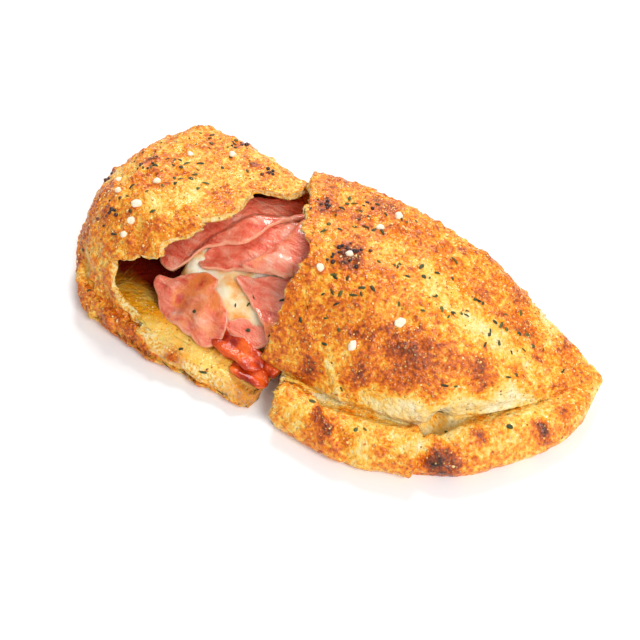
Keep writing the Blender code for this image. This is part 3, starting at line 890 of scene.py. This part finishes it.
class Slice:
    """A flat piece, thick mm high, given by a few points of its outline, in order round its middle.

    under holds the slices it may lie on, and hang is what heap() is given. crown lifts its middle,
    frill waves its edge, ripples run along the angle grain. lumps are (x, y, radius, height); sauce is
    (x, y, radius, amount), orange up to 0.5 and red above.
    """

    def __init__(self, name, outline, thick=1.9, under=(), hang=0.0, crown=0.0, frill=0.0, ripple=0.8,
                 grain=0.6, lumps=(), sauce=()):
        self.name, self.thick, self.under, self.hang = name, thick, under, hang
        self.lumps, self.sauce = lumps, sauce
        self.crown, self.frill, self.ripple, self.grain = crown, frill, ripple, grain
        self.cx = sum(x for x, y in outline) / len(outline)
        self.cy = sum(y for x, y in outline) / len(outline)
        polar = sorted((math.atan2(y - self.cy, x - self.cx), math.hypot(x - self.cx, y - self.cy))
                       for x, y in outline)
        turn = 2 * math.pi
        wrapped = [(a - turn, r) for a, r in polar[-2:]] + polar + [(a + turn, r) for a, r in polar[:2]]
        angles, radii = zip(*wrapped)
        self.radii = [smooth_through(angles, radii, -math.pi + turn * i / TURN_STEPS)
                      for i in range(TURN_STEPS + 1)]
        xs, ys = zip(*outline)
        self.bottom = HeightMap(self.resting, round(min(xs)) - MARGIN, round(max(xs)) + MARGIN,
                                round(min(ys)) - MARGIN, round(max(ys)) + MARGIN)

    def reach(self, angle):
        """From the slice's middle to its outline, in that direction."""
        at = (angle + math.pi) / (2 * math.pi) * TURN_STEPS
        k = min(int(at), TURN_STEPS - 1)
        return self.radii[k] + (self.radii[k + 1] - self.radii[k]) * (at - k)

    def covers(self, x, y):
        """1 over the piece, falling to 0 a few millimetres outside it."""
        dx, dy = x - self.cx, y - self.cy
        return 1 - between(1.0, 1.0 + DRAPE, math.hypot(dx, dy) - self.reach(math.atan2(dy, dx)))

    def resting(self, x, y):
        """Height of whatever the slice lies on."""
        base = heap(x, y, self.hang) + GAP
        for other in self.under:
            base = max(base, other.covers(x, y) * (other.bottom(x, y) + other.thick + GAP - base) + base)
        return base

    def lowest(self, x, y, share):
        """Underside of the slice: resting height, its waves and its crown."""
        p = Vector((x, y, 0))
        c, s = math.cos(self.grain), math.sin(self.grain)
        along, across = x * c + y * s, y * c - x * s
        ripple = noise.noise(Vector((along / 26, across / 6.5, self.cx)))
        wave = self.ripple * ripple + 0.45 * swell(p, 6, self.cy) + 0.16 * swell(p, 2.4, self.cx)
        frill = self.frill * share ** 6 * (1.4 * swell(p, 6.5, 3) + 0.5)
        wave += sum(h * mound(x, y, a, b, r) for a, b, r, h in self.lumps)
        return self.bottom(x, y) + wave + frill + self.crown * (1 - share ** 2)


HAM_LOW = Slice(
    "ham_low",
    [(-16, -29.5), (-13, -26), (-4, -24), (4, -24.5), (7, -27), (5, -29), (-6, -30.5), (-13, -31)],
    thick=1.6, ripple=0.4)
HAM_LEFT = Slice(
    "ham_left",
    [(-57, -28), (-52, -32), (-49, -35.5), (-43, -38.5), (-35, -39), (-28, -39.5), (-21, -41),
     (-16, -39.5), (-13.5, -35), (-13.5, -31), (-16, -26), (-21, -23), (-27, -20), (-29, -16),
     (-34, -15.5), (-43, -18.5), (-49, -23)],
    thick=1.8, under=(HAM_LOW,), hang=1.0, crown=1.6, frill=1.1, ripple=1.6, grain=-0.5,
    lumps=((-55, -27, 3.5, 3.0), (-41, -29, 4.5, -2.2), (-27, -34, 4.5, 2.0), (-48, -28, 3, 1.6),
           (-31, -21, 4, 1.8), (-20, -36, 3, -1.4), (-35, -35, 3.5, 1.4)),
    sauce=((-35, -21, 8, 0.68), (-24, -24, 7, 0.55), (-42, -28.5, 3.4, 1.0), (-26, -32, 14, 0.36)))
HAM_RIGHT = Slice(
    "ham_right",
    [(-22, -12.5), (-14, -9), (-4, -5), (8, -2), (16, -5), (13, -15), (8, -24), (6.5, -28), (1, -24),
     (-5, -20.5), (-11, -17.5), (-17, -15)],
    under=(HAM_LOW, HAM_LEFT), crown=0.8, frill=0.6, ripple=0.7, grain=-0.7,
    sauce=((4, -25, 4, 0.8), (-3, -21, 4, 0.3)))
HAM_SECOND = Slice(
    "ham_second",
    [(-42, -14), (-38, -16), (-31, -13.5), (-24, -10), (-14, -8), (0, -2), (12, 5), (14, 14), (4, 21),
     (-9, 22), (-22, 14), (-32, 4), (-40, -6)],
    under=(HAM_LEFT, HAM_RIGHT), hang=1.0, frill=0.7)
HAM_TOP = Slice(
    "ham_top",
    [(-60, -20), (-51, -20.5), (-46, -14), (-40, -8), (-31, -3), (-23, 3), (-20, 10), (-17, 17),
     (-7, 24), (0, 31), (-5, 37), (-18, 38.5), (-34, 28), (-46, 15), (-54, 1), (-62, -10)],
    under=(HAM_SECOND,), hang=1.0, crown=0.5, frill=0.6)
HAM_FOLD = Slice(
    "ham_fold",
    [(-20, -10), (-17, -6), (-14, 1), (-10, 7), (-9, 14), (-8, 21), (1, 21), (9, 15), (14, 6),
     (12, -2), (3, -3), (-6, -7), (-13, -9.5)],
    thick=2.4, under=(HAM_SECOND, HAM_RIGHT), crown=3.8, frill=0.3, ripple=0.4, grain=0.9,
    sauce=((-14, -6, 5, 0.35), (-10, 8, 5, 0.3), (-8, 17, 4, 0.3)))
SLICES = [HAM_LOW, HAM_LEFT, HAM_RIGHT, HAM_SECOND, HAM_TOP, HAM_FOLD]


# Width of the paler rind round a slice, in mm.
RIND = 4


def pressed_ball(piece, low, high, spokes, rings):
    """A sphere pressed flat to the piece's outline, between two heights."""
    bm = bmesh.new()
    edge = bm.verts.layers.float.new("edge")
    sauce = bm.verts.layers.float.new("sauce")
    bmesh.ops.create_uvsphere(bm, u_segments=spokes, v_segments=rings, radius=1)
    for v in bm.verts:
        angle = math.atan2(v.co.y, v.co.x)
        flat = min(1.0, math.hypot(v.co.x, v.co.y))
        share = math.asin(flat) / (math.pi / 2)
        ragged = 1 + 0.02 * noise.noise(Vector((math.cos(angle) * 5, math.sin(angle) * 5, piece.cx)))
        ragged += 0.008 * noise.noise(Vector((math.cos(angle) * 19, math.sin(angle) * 19, piece.cx)))
        radius = piece.reach(angle)
        x = piece.cx + radius * ragged * share * math.cos(angle)
        y = piece.cy + radius * ragged * share * math.sin(angle)
        z0, z1 = low(x, y, share), high(x, y, share)
        from_edge = radius * (1 - share) / (0.5 * (z1 - z0))
        rounded = 1.0 if from_edge > 1 else math.sqrt(1 - (1 - from_edge) ** 2)
        side = 0.0 if share > 0.9999 else math.copysign(rounded, v.co.z)
        v[edge] = max(0.0, 1 - radius * (1 - share) / RIND)
        v[sauce] = max([0.0] + [amount * mound(x, y, a, b, r) for a, b, r, amount in piece.sauce])
        v.co = to_world(Vector((x, y, 0.5 * (z0 + z1) + 0.5 * side * (z1 - z0))))
    face_outward(bm)
    return bm


print("Slices of ham:", [piece.name for piece in SLICES])

# %% [markdown]
# ## Cooked ham
# Cooked ham is pressed meat: lean in two pinks with streaks of fat running one way, wet on its cut face
# and paler at the rind. A picture of ham could be wrapped on it, but would blur this close. Noise that
# a Mapping node stretches along the meat gives the streaks. Where tomato sauce ran over a slice, the
# slice's own sauce attribute lays orange and red over the pink.

# %% Ham
def cooked_ham(tree, where):
    """Cooked ham, sliced: pink with paler fat, glossy because it is wet, sauced in places."""
    meat_runs = add_node(tree, "Mapping", "Vector", {
        "Vector": where, "Rotation": (0, 0, -0.6), "Scale": (0.35, 1, 1)})
    fibre, fat, blotch, splash, wet = [
        add_node(tree, "TexNoise", "Fac", {
            "Vector": place, "Scale": scale_for(size), "Detail": detail, "Distortion": twist})
        for place, size, detail, twist in (
            (meat_runs, 3.5, 5, 1.0), (meat_runs, 7.0, 3, 2.0), (where, 12.0, 3, 0.0),
            (where, 5.0, 4, 0.0), (where, 0.9, 3, 0.0))
    ]
    sauce, edge = [add_node(tree, "Attribute", "Fac", attribute_name=name) for name in ("sauce", "edge")]
    spread = uneven(tree, sauce, (splash, 0.9), (fibre, 0.4))
    lean, streaks, covered, red, rind = [
        add_node(tree, "ValToRGB", "Color", {"Fac": source}, stops) for source, stops in (
            (uneven(tree, 0.5, (fibre, 1.0), (blotch, 0.7)),
             [(0.2, "#d04630"), (0.42, "#f27256"), (0.6, "#fc9678"), (0.8, "#ffbca4")]),
            (fat, [(0.56, "#000000"), (0.66, "#555555"), (0.74, "#aaaaaa")]),
            (spread, [(0.14, "#000000"), (0.5, "#e0e0e0")]),
            (spread, [(0.62, "#ff9038"), (0.88, "#de3016")]),
            (uneven(tree, edge, (fat, 0.6)), [(0.72, "#000000"), (0.92, "#dddddd")]))
    ]
    colour = lean
    for share, over in ((streaks, "#f8bfae"), (covered, red), (rind, "#fab890")):
        colour = add_node(tree, "Mix", RESULT, {SHARE: share, FIRST: colour, SECOND: over}, data_type="RGBA")
    bump = {}
    for height, depth in ((fibre, 1.0), (wet, 0.6)):
        bump["Normal"] = add_node(tree, "Bump", "Normal", {
            "Height": height, "Distance": depth * MM, "Strength": 1.0, **bump})
    return {
        "Base Color": colour, "Roughness": 0.28, "Coat Weight": 0.6, "Coat Roughness": 0.1, **bump,
        "Subsurface Weight": 0.2, "Subsurface Radius": (1.0, 0.3, 0.2), "Subsurface Scale": 2.5 * MM,
    }


def top_of(piece):
    """The rule for the height of a slice's upper side."""
    return lambda x, y, share: piece.lowest(x, y, share) + piece.thick


ham = look("cooked ham", cooked_ham)
for piece in SLICES:
    ham_bm = pressed_ball(piece, piece.lowest, top_of(piece), spokes=200, rings=90)
    print(piece.name, "has", len(ham_bm.faces), "faces")
    SURFACES[piece.name] = BVHTree.FromBMesh(ham_bm)
    add_piece(piece.name + "_slice", ham_bm, [ham], piece.name)

# %% [markdown]
# ## Melted mozzarella
# The cheese melted into one soft bed that fills the pocket and shows at the tear. It is the same
# pressed ball as a slice, with the heap's surface on top, and far inside it swells up to just under the
# crust. Light goes a few millimetres into it, so it glows white, and sauce stains it orange.

# %% Mozzarella
MOZZARELLA = Slice(
    "mozzarella",
    [(-60, 8), (-56, -8), (-52, -18), (-45, -27), (-34, -30), (-18, -29.5), (-2, -29), (14, -27),
     (26, -27.5), (40, -25.5), (56, -22.5), (70, -18), (84, -10), (96, 2), (106, 13), (109, 20),
     (108, 28), (102, 37), (88, 43), (66, 47), (40, 46), (14, 41), (-14, 34), (-38, 32), (-54, 24)])


def melted_mozzarella(tree, where):
    """Melted mozzarella: soft, glossy and milky, stained orange by the sauce at its edges."""
    stain, wet = [
        add_node(tree, "TexNoise", "Fac", {"Vector": where, "Scale": scale_for(size), "Detail": detail})
        for size, detail in ((10.0, 4), (2.5, 3))
    ]
    return {
        "Base Color": add_node(tree, "ValToRGB", "Color", {"Fac": stain}, [
            (0.32, "#f6a850"), (0.43, "#fcd69c"), (0.54, "#fff0cc"), (0.7, "#fffaea")]),
        "Normal": add_node(tree, "Bump", "Normal", {"Height": wet, "Distance": 0.5 * MM, "Strength": 1.0}),
        "Roughness": 0.22, "Subsurface Weight": 0.4, "Subsurface Scale": 4 * MM,
    }


def mozzarella_top(x, y, share):
    """Upper side of the bed: the heap with small swells, and under the crust's roof farther in."""
    p = Vector((x, y, 0))
    buried = min(ceiling(x, y) - 4.0, 44.0) if x > 20 else 0.0
    lump = 4.0 * math.exp(-((x + 43) ** 2 + (y + 14) ** 2) / 30)
    return max(heap(x, y) + 0.8 * swell(p, 9, 2) + 0.3 * swell(p, 3.5, 6) + lump, buried, WALL + 2.5)


cheese = look("melted mozzarella", melted_mozzarella)
cheese_bm = pressed_ball(MOZZARELLA, lambda x, y, share: WALL + 0.6, mozzarella_top, spokes=260, rings=160)
print("The bed of mozzarella has", len(cheese_bm.faces), "faces")
SURFACES["mozzarella"] = BVHTree.FromBMesh(cheese_bm)
add_piece("mozzarella_bed", cheese_bm, [cheese], "mozzarella")

# %% [markdown]
# ## Cooked tomato
# Strips of tomato lie along the torn front. Baking has wrinkled them lengthwise and left them wet. A
# bevelled curve would give smooth tubes, so each is a ball drawn out from end to end, with furrows that
# follow its length.

# %% Tomato
# Name, two ends and radius, in mm.
TOMATOES = [
    ("tomato_long", (-19.5, -33.4, 10.6), (9.5, -36.6, 10.8), 4.6),
    ("tomato_short", (-4, -41.2, 9.2), (14.5, -40.6, 8.4), 3.3),
    ("tomato_end", (10.4, -36.5, 8.4), (13.4, -28.0, 8.8), 3.4),
]


def cooked_tomato(tree, where):
    """A strip of tomato baked in oil: wet, orange red, darker in patches."""
    ripe, wet = [
        add_node(tree, "TexNoise", "Fac", {"Vector": where, "Scale": scale_for(size), "Detail": detail})
        for size, detail in ((9.0, 3), (1.6, 3))
    ]
    return {
        "Base Color": add_node(tree, "ValToRGB", "Color", {"Fac": ripe}, [
            (0.32, "#8c1a08"), (0.45, "#c73c0e"), (0.6, "#ea641c"), (0.75, "#f4853a")]),
        "Normal": add_node(tree, "Bump", "Normal", {"Height": wet, "Distance": 0.6 * MM, "Strength": 1.0}),
        "Roughness": 0.16, "Subsurface Weight": 0.15, "Subsurface Scale": 2 * MM,
    }


def roll(start, end, radius):
    """A soft strip: a ball drawn out along its length and bent a little."""
    bm = bmesh.new()
    start, end = Vector(start), Vector(end)
    run = end - start
    side = Vector((0, 0, 1)).cross(run).normalized()
    up = run.cross(side).normalized()
    for v in bmesh.ops.create_uvsphere(bm, u_segments=48, v_segments=64, radius=1)["verts"]:
        share = 0.5 + 0.5 * v.co.z
        full = min(1.0, 1.35 * math.sqrt(max(0.0, 1 - v.co.z ** 2)))
        turn = math.atan2(v.co.y, v.co.x)
        pinch = 1 - 0.16 * math.cos(4 * turn)
        around = (side * 1.15 * math.cos(turn) + up * 0.8 * math.sin(turn)) * radius * full * pinch
        p = start + run * share + Vector((0, 0, 0.6 * math.sin(math.pi * share)))
        furrow = 0.16 * math.sin(3 * turn + 2.2 * swell(p, 9, 5))
        v.co = to_world(p + around * (1 + furrow + 0.28 * swell(p + around, radius * 1.6, 3)))
    face_outward(bm)
    return bm


tomato = look("cooked tomato", cooked_tomato)
for name, start, end, radius in TOMATOES:
    add_piece(name + "_strip", roll(start, end, radius), [tomato], name)
print("Strips of tomato:", len(TOMATOES))

# %% [markdown]
# ## Strewn on top
# Coarse cheese grains, dried herbs, cracked pepper and a few white lumps of cheese. Each kind is made
# once in two or three simple shapes, then stamped in place many times. Particles or geometry nodes
# could scatter them, but one plain mesh per kind is easy to keep and to export. A place is found by
# dropping a point straight down on the crust.


# %% Stamping small things
def stamp_mesh(name, build):
    """A small mesh, about 1 mm in radius, to be copied many times."""
    bm = bmesh.new()
    build(bm)
    face_outward(bm)
    return mesh_of(name, bm)


def strewn(name, stamps, places, material):
    """One piece that holds a stamp at every place: a matrix and a tint from 0 to 1."""
    bm = bmesh.new()
    counts = []
    for i, (matrix, tint) in enumerate(places):
        stamp = stamps[i % len(stamps)].copy()
        stamp.transform(matrix)
        bm.from_mesh(stamp)
        counts.append((len(stamp.vertices), tint))
        bpy.data.meshes.remove(stamp)
    tints = bm.verts.layers.float.new("tint")
    bm.verts.ensure_lookup_table()
    at = 0
    for count, tint in counts:
        for v in bm.verts[at:at + count]:
            v[tints] = tint
        at += count
    print(name, "holds", len(places), "pieces,", len(bm.faces), "faces")
    add_piece(name, bm, [material])


def dropped(x, y, surfaces=("left", "right")):
    """Where a point dropped at (x, y) lands, and the surface's normal there."""
    best = None
    start, down = to_world(Vector((x, y, 90))), Vector((0, 0, -1))
    for key in surfaces:
        place, normal = SURFACES[key].ray_cast(start, down)[:2]
        if place and (best is None or place.z > best[0].z):
            best = place, normal
    return best


def lying(place, normal, size, rng, sink=0.0):
    """A matrix that sets a thing of that size, in mm, flat on a surface, turned at random."""
    upright = normal.to_track_quat("Z", "Y").to_matrix().to_4x4()
    turn = upright @ Matrix.Rotation(rng.uniform(0, 6.283), 4, "Z")
    tip = Matrix.Rotation(rng.gauss(0, 0.25), 4, "X")
    return Matrix.Translation(place - normal * sink * MM) @ turn @ tip @ Matrix.Scale(size * MM, 4)


def pebble(seed, stretch=1.0):
    """A grain: a coarse ball, dented by noise and drawn out by stretch."""
    def build(bm):
        for v in bmesh.ops.create_icosphere(bm, subdivisions=1, radius=1)["verts"]:
            v.co *= 1 + 0.35 * noise.noise(v.co * 1.7 + Vector((seed, 0, 0)))
            v.co.x *= stretch
    return build


def leaf(length, width):
    """A flake of dried leaf: a disc drawn out, curled down at its ends, and given a thickness."""
    def build(bm):
        ring = bmesh.ops.create_circle(bm, cap_ends=True, segments=8, radius=1)["verts"]
        for v in ring:
            v.co = Vector((v.co.x * length, v.co.y * width, -0.12 * length * v.co.x ** 2 + 0.1 * abs(v.co.y)))
        bmesh.ops.solidify(bm, geom=bm.faces, thickness=0.16)
    return build


def chip(seed):
    """A lump: a finer ball with soft dents."""
    def build(bm):
        bmesh.ops.create_icosphere(bm, subdivisions=3, radius=1)
        for v in bm.verts:
            v.co *= 1 + 0.3 * noise.noise(v.co * 1.1 + Vector((seed, 0, 0))) + 0.12 * noise.noise(v.co * 3.1)
            v.co.x *= 1.25
            v.co.z *= 0.8
    return build


# One sequence of random numbers places everything that is strewn, so a run repeats exactly.
rng = random.Random(5)


def random_spots(count, density):
    """Places on the crust, more of them where density(x, y) is near 1."""
    found = []
    while len(found) < count:
        x, y = rng.uniform(-114, 128), rng.uniform(-52, 56)
        if rng.random() > density(x, y):
            continue
        hit = dropped(x, y)
        if hit and hit[1].z > 0.15 and hit[0].z > 5 * MM:
            found.append(hit)
    return found


print("A point dropped at (40, 10) lands", round(dropped(40, 10)[0].z / MM, 1), "mm above the plate")


# %% [markdown]
# ## Look of a strewn thing
# No two grains are browned alike. A material for each would be wasteful, so every stamp has a tint,
# kept with its vertices, and one ramp turns the tint into colour.

# %% Tinted looks
def tinted(name, roughness, stops, more=None):
    """A look whose colour is picked from the stops by each stamp's tint."""
    def finish(tree, where):
        tint = add_node(tree, "Attribute", "Fac", attribute_name="tint")
        colour = add_node(tree, "ValToRGB", "Color", {"Fac": tint}, stops)
        return {"Base Color": colour, "Roughness": roughness, **(more or {})}
    return look(name, finish)


# %% [markdown]
# ## Coarse grains
# Grated hard cheese and semolina, thrown on by hand before baking. They lie all over the left half. On
# the right one most lie on the broad top, because the front is steep. Their radius is a quarter to half
# a millimetre, and most are small.

# %% Coarse grains
GRAINS = 6500


def grain_density(x, y):
    """How likely a grain stays at (x, y)."""
    if x < 0:
        return 0.75
    return 0.3 + 0.6 * between(-8, 12, y) if y > -30 else 0.25


pebbles = [stamp_mesh("pebble", pebble(seed, stretch)) for seed, stretch in ((1, 1.0), (4, 1.3), (9, 0.8))]
grains = []
for place, normal in random_spots(GRAINS, grain_density):
    size = 0.22 + 0.34 * rng.random() ** 2.5
    grains.append((lying(place, normal, size, rng, 0.1), rng.random() ** 1.2))
# A crumb of cheese and semolina: pale where fresh, brown where toasted, letting some light in.
toasted = tinted("toasted grain", 0.45, [
    (0.0, "#fae0a0"), (0.35, "#f4b957"), (0.75, "#d98226"), (1.0, "#8a4418"),
], {"Subsurface Weight": 0.1, "Subsurface Scale": 1 * MM})
strewn("toasted_grains", pebbles, grains, toasted)

# %% [markdown]
# ## Dried herbs
# Rubbed oregano: flat flakes one to four millimetres long, fallen in loose bands where the hand passed.
# Each band is a soft hill of likelihood, which looks less even than scattering by count.

# %% Herbs
HERBS = 150
HERB_BANDS = [
    # x, y, radius across x and y
    (-75, 8, 16, 16), (-56, 3, 9, 10), (-66, -18, 9, 9), (-65, 33, 12, 7), (16, 20, 16, 16),
    (48, 10, 22, 9), (75, 15, 18, 12), (94, 18, 10, 12), (30, -8, 12, 9),
]


def herb_density(x, y):
    """How likely a flake falls at (x, y)."""
    return 0.03 + 0.5 * max(math.exp(-((x - a) / rx) ** 2 - ((y - b) / ry) ** 2)
                            for a, b, rx, ry in HERB_BANDS)


leaves = [stamp_mesh("leaf", leaf(length, width))
          for length, width in ((1.0, 0.42), (1.25, 0.34), (0.8, 0.6))]
# A few fell on the filling.
FILLING_SPOTS = [(-11.3, -18), (-9.6, -16), (-5, -27), (8, -24), (3, -12), (-30, -32), (-16, -21), (6, -26)]
flakes = [(lying(*dropped(x, y, SURFACES), rng.uniform(0.9, 1.5), rng, -0.25), rng.random())
          for x, y in FILLING_SPOTS]
flakes += [(lying(place, normal, rng.uniform(0.8, 1.75), rng, -0.2), rng.random())
           for place, normal in random_spots(HERBS, herb_density)]
# Dried oregano: dark green and dull, a few flakes toasted brown.
herb = tinted("dried herb", 0.6, [(0.0, "#1f2b12"), (0.5, "#39451c"), (0.8, "#5a6227"), (1.0, "#4a3416")])
strewn("dried_herbs", leaves, flakes, herb)

# %% [markdown]
# ## Pepper and char
# Cracked pepper, and drops of cheese that burnt. They lie in small groups, mostly where the dough is
# scorched too, so each group has a middle and a spread.

# %% Pepper and char
BEAD_SPOTS = [
    # x, y, spread and how many
    (22, 7.5, 2.6, 11), (27, 8, 2.4, 8), (19, 3, 2.0, 4), (0.5, 25, 2.2, 6), (-82, 3, 2.2, 6),
    (-81, -23, 2.6, 9), (-61, 45, 2.4, 10), (-37, 33, 2.0, 6), (15, 34, 2.0, 3), (-104, -2, 2, 4),
]

beads = []
for x, y, spread, count in BEAD_SPOTS:
    for _ in range(count):
        hit = dropped(x + rng.gauss(0, spread), y + rng.gauss(0, spread))
        if hit:
            beads.append((lying(hit[0], hit[1], rng.uniform(0.7, 1.3), rng, 0.1), rng.random()))
# Pepper and burnt cheese: nearly black, brown red in places, slightly oily.
charred = tinted("charred bead", 0.35, [(0.0, "#1d1416"), (0.5, "#3a2021"), (1.0, "#6e3320")])
strewn("charred_beads", [stamp_mesh("bead", pebble(seed)) for seed in (2, 7)], beads, charred)

# %% [markdown]
# ## White cheese lumps
# A few bits of hard cheese stayed white. There are so few that each has its own place.

# %% White cheese lumps
LUMPS = [
    # x, y and radius
    (28.5, 37.4, 1.5), (26.6, 25.4, 1.2), (42.6, -20.9, 1.5), (55.3, -7.2, 1.6), (16.4, -3.8, 1.3),
    (24, 5.6, 1.1), (-67.1, -23.7, 1.5), (-68.2, -4, 1.3), (-68, -17.8, 1.7), (-71.1, 21.2, 1.2),
    (-89.8, -7.2, 1.1), (-82.4, -14.5, 1.2), (-55.7, 32.3, 1.4), (-67.4, -29, 1.2),
]


def white_lump(tree, where):
    """Hard white cheese that has not melted: chalky, slightly see-through."""
    return {
        "Base Color": rgb("#fbecd0"), "Roughness": 0.5,
        "Subsurface Weight": 0.3, "Subsurface Scale": 1.5 * MM,
    }


lumps = []
for x, y, radius in LUMPS:
    place, normal = dropped(x, y)
    lumps.append((lying(place, normal, 1.1 * radius, rng, -0.2), 0.0))
chips = [stamp_mesh("chip", chip(seed)) for seed in (3, 6, 8)]
strewn("white_lumps", chips, lumps, look("white lump", white_lump))

# %% [markdown]
# ## Floor and light
# The loaf stands on a plain pale floor. A broad soft light high up behind it gives the glints on the
# dough and the ham. A slightly broader one on the right, about as strong, keeps the torn front bright,
# and a white sky does the rest. A sky alone would light it all evenly and show no relief.


# %% Studio
def add_light(name, place, size, power):
    """A round lamp, size metres across, that points at the loaf."""
    lamp = bpy.data.lights.new(name, "AREA")
    lamp.shape = "DISK"
    lamp.size = size
    lamp.energy = power
    made = in_scene(name, lamp)
    made.location = place
    made.rotation_euler = Vector(place).to_track_quat("Z", "Y").to_euler()


def matt_floor(tree, where):
    """Matt white card: no glints, soft shadows."""
    return {"Base Color": rgb("#fafafa"), "Roughness": 0.9}


floor_bm = bmesh.new()
bmesh.ops.create_grid(floor_bm, x_segments=1, y_segments=1, size=3)
floor = in_scene("floor", mesh_of("floor", floor_bm, [look("pale floor", matt_floor)]))

add_light("key", (-0.3, 0.58, 0.72), 0.35, 6.5)
add_light("fill", (0.64, -0.27, 0.72), 0.45, 6.9)
world = bpy.data.worlds.new("studio")
world.use_nodes = True
sky = world.node_tree.nodes["Background"].inputs
sky["Color"].default_value = rgb("#ffffff")
sky["Strength"].default_value = 0.45
bpy.context.scene.world = world
# The filmic transforms would grey the whites and dull the golds.
bpy.context.scene.view_settings.view_transform = "Standard"
print("Lamps:", [each.name for each in bpy.data.lights])

# %% [markdown]
# ## Camera
# The camera looks down from the front right, as one looks at a plate. Its place is worked out from two
# angles and a distance round the point it aims at, which are easier to adjust than three coordinates.

# %% Camera
# Round from straight in front, up from the plate, and metres from the point aimed at.
AZIMUTH, ELEVATION = math.radians(33.4), math.radians(50.5)
DISTANCE = 0.3185
AIM = to_world(Vector((17.2, -5.3, 17)))
# Width of the sensor and length of the lens, in mm.
SENSOR, LENS = 36, 41.7
back = Vector((math.sin(AZIMUTH) * math.cos(ELEVATION), -math.cos(AZIMUTH) * math.cos(ELEVATION),
               math.sin(ELEVATION)))
camera_data = bpy.data.cameras.new("camera")
camera_data.sensor_width = SENSOR
camera_data.lens = LENS
camera = in_scene("camera", camera_data)
camera.location = AIM + back * DISTANCE
camera.rotation_euler = back.to_track_quat("Z", "Y").to_euler()
bpy.context.scene.camera = camera
print("The camera stands", round(camera.location.z, 2), "m above the plate")
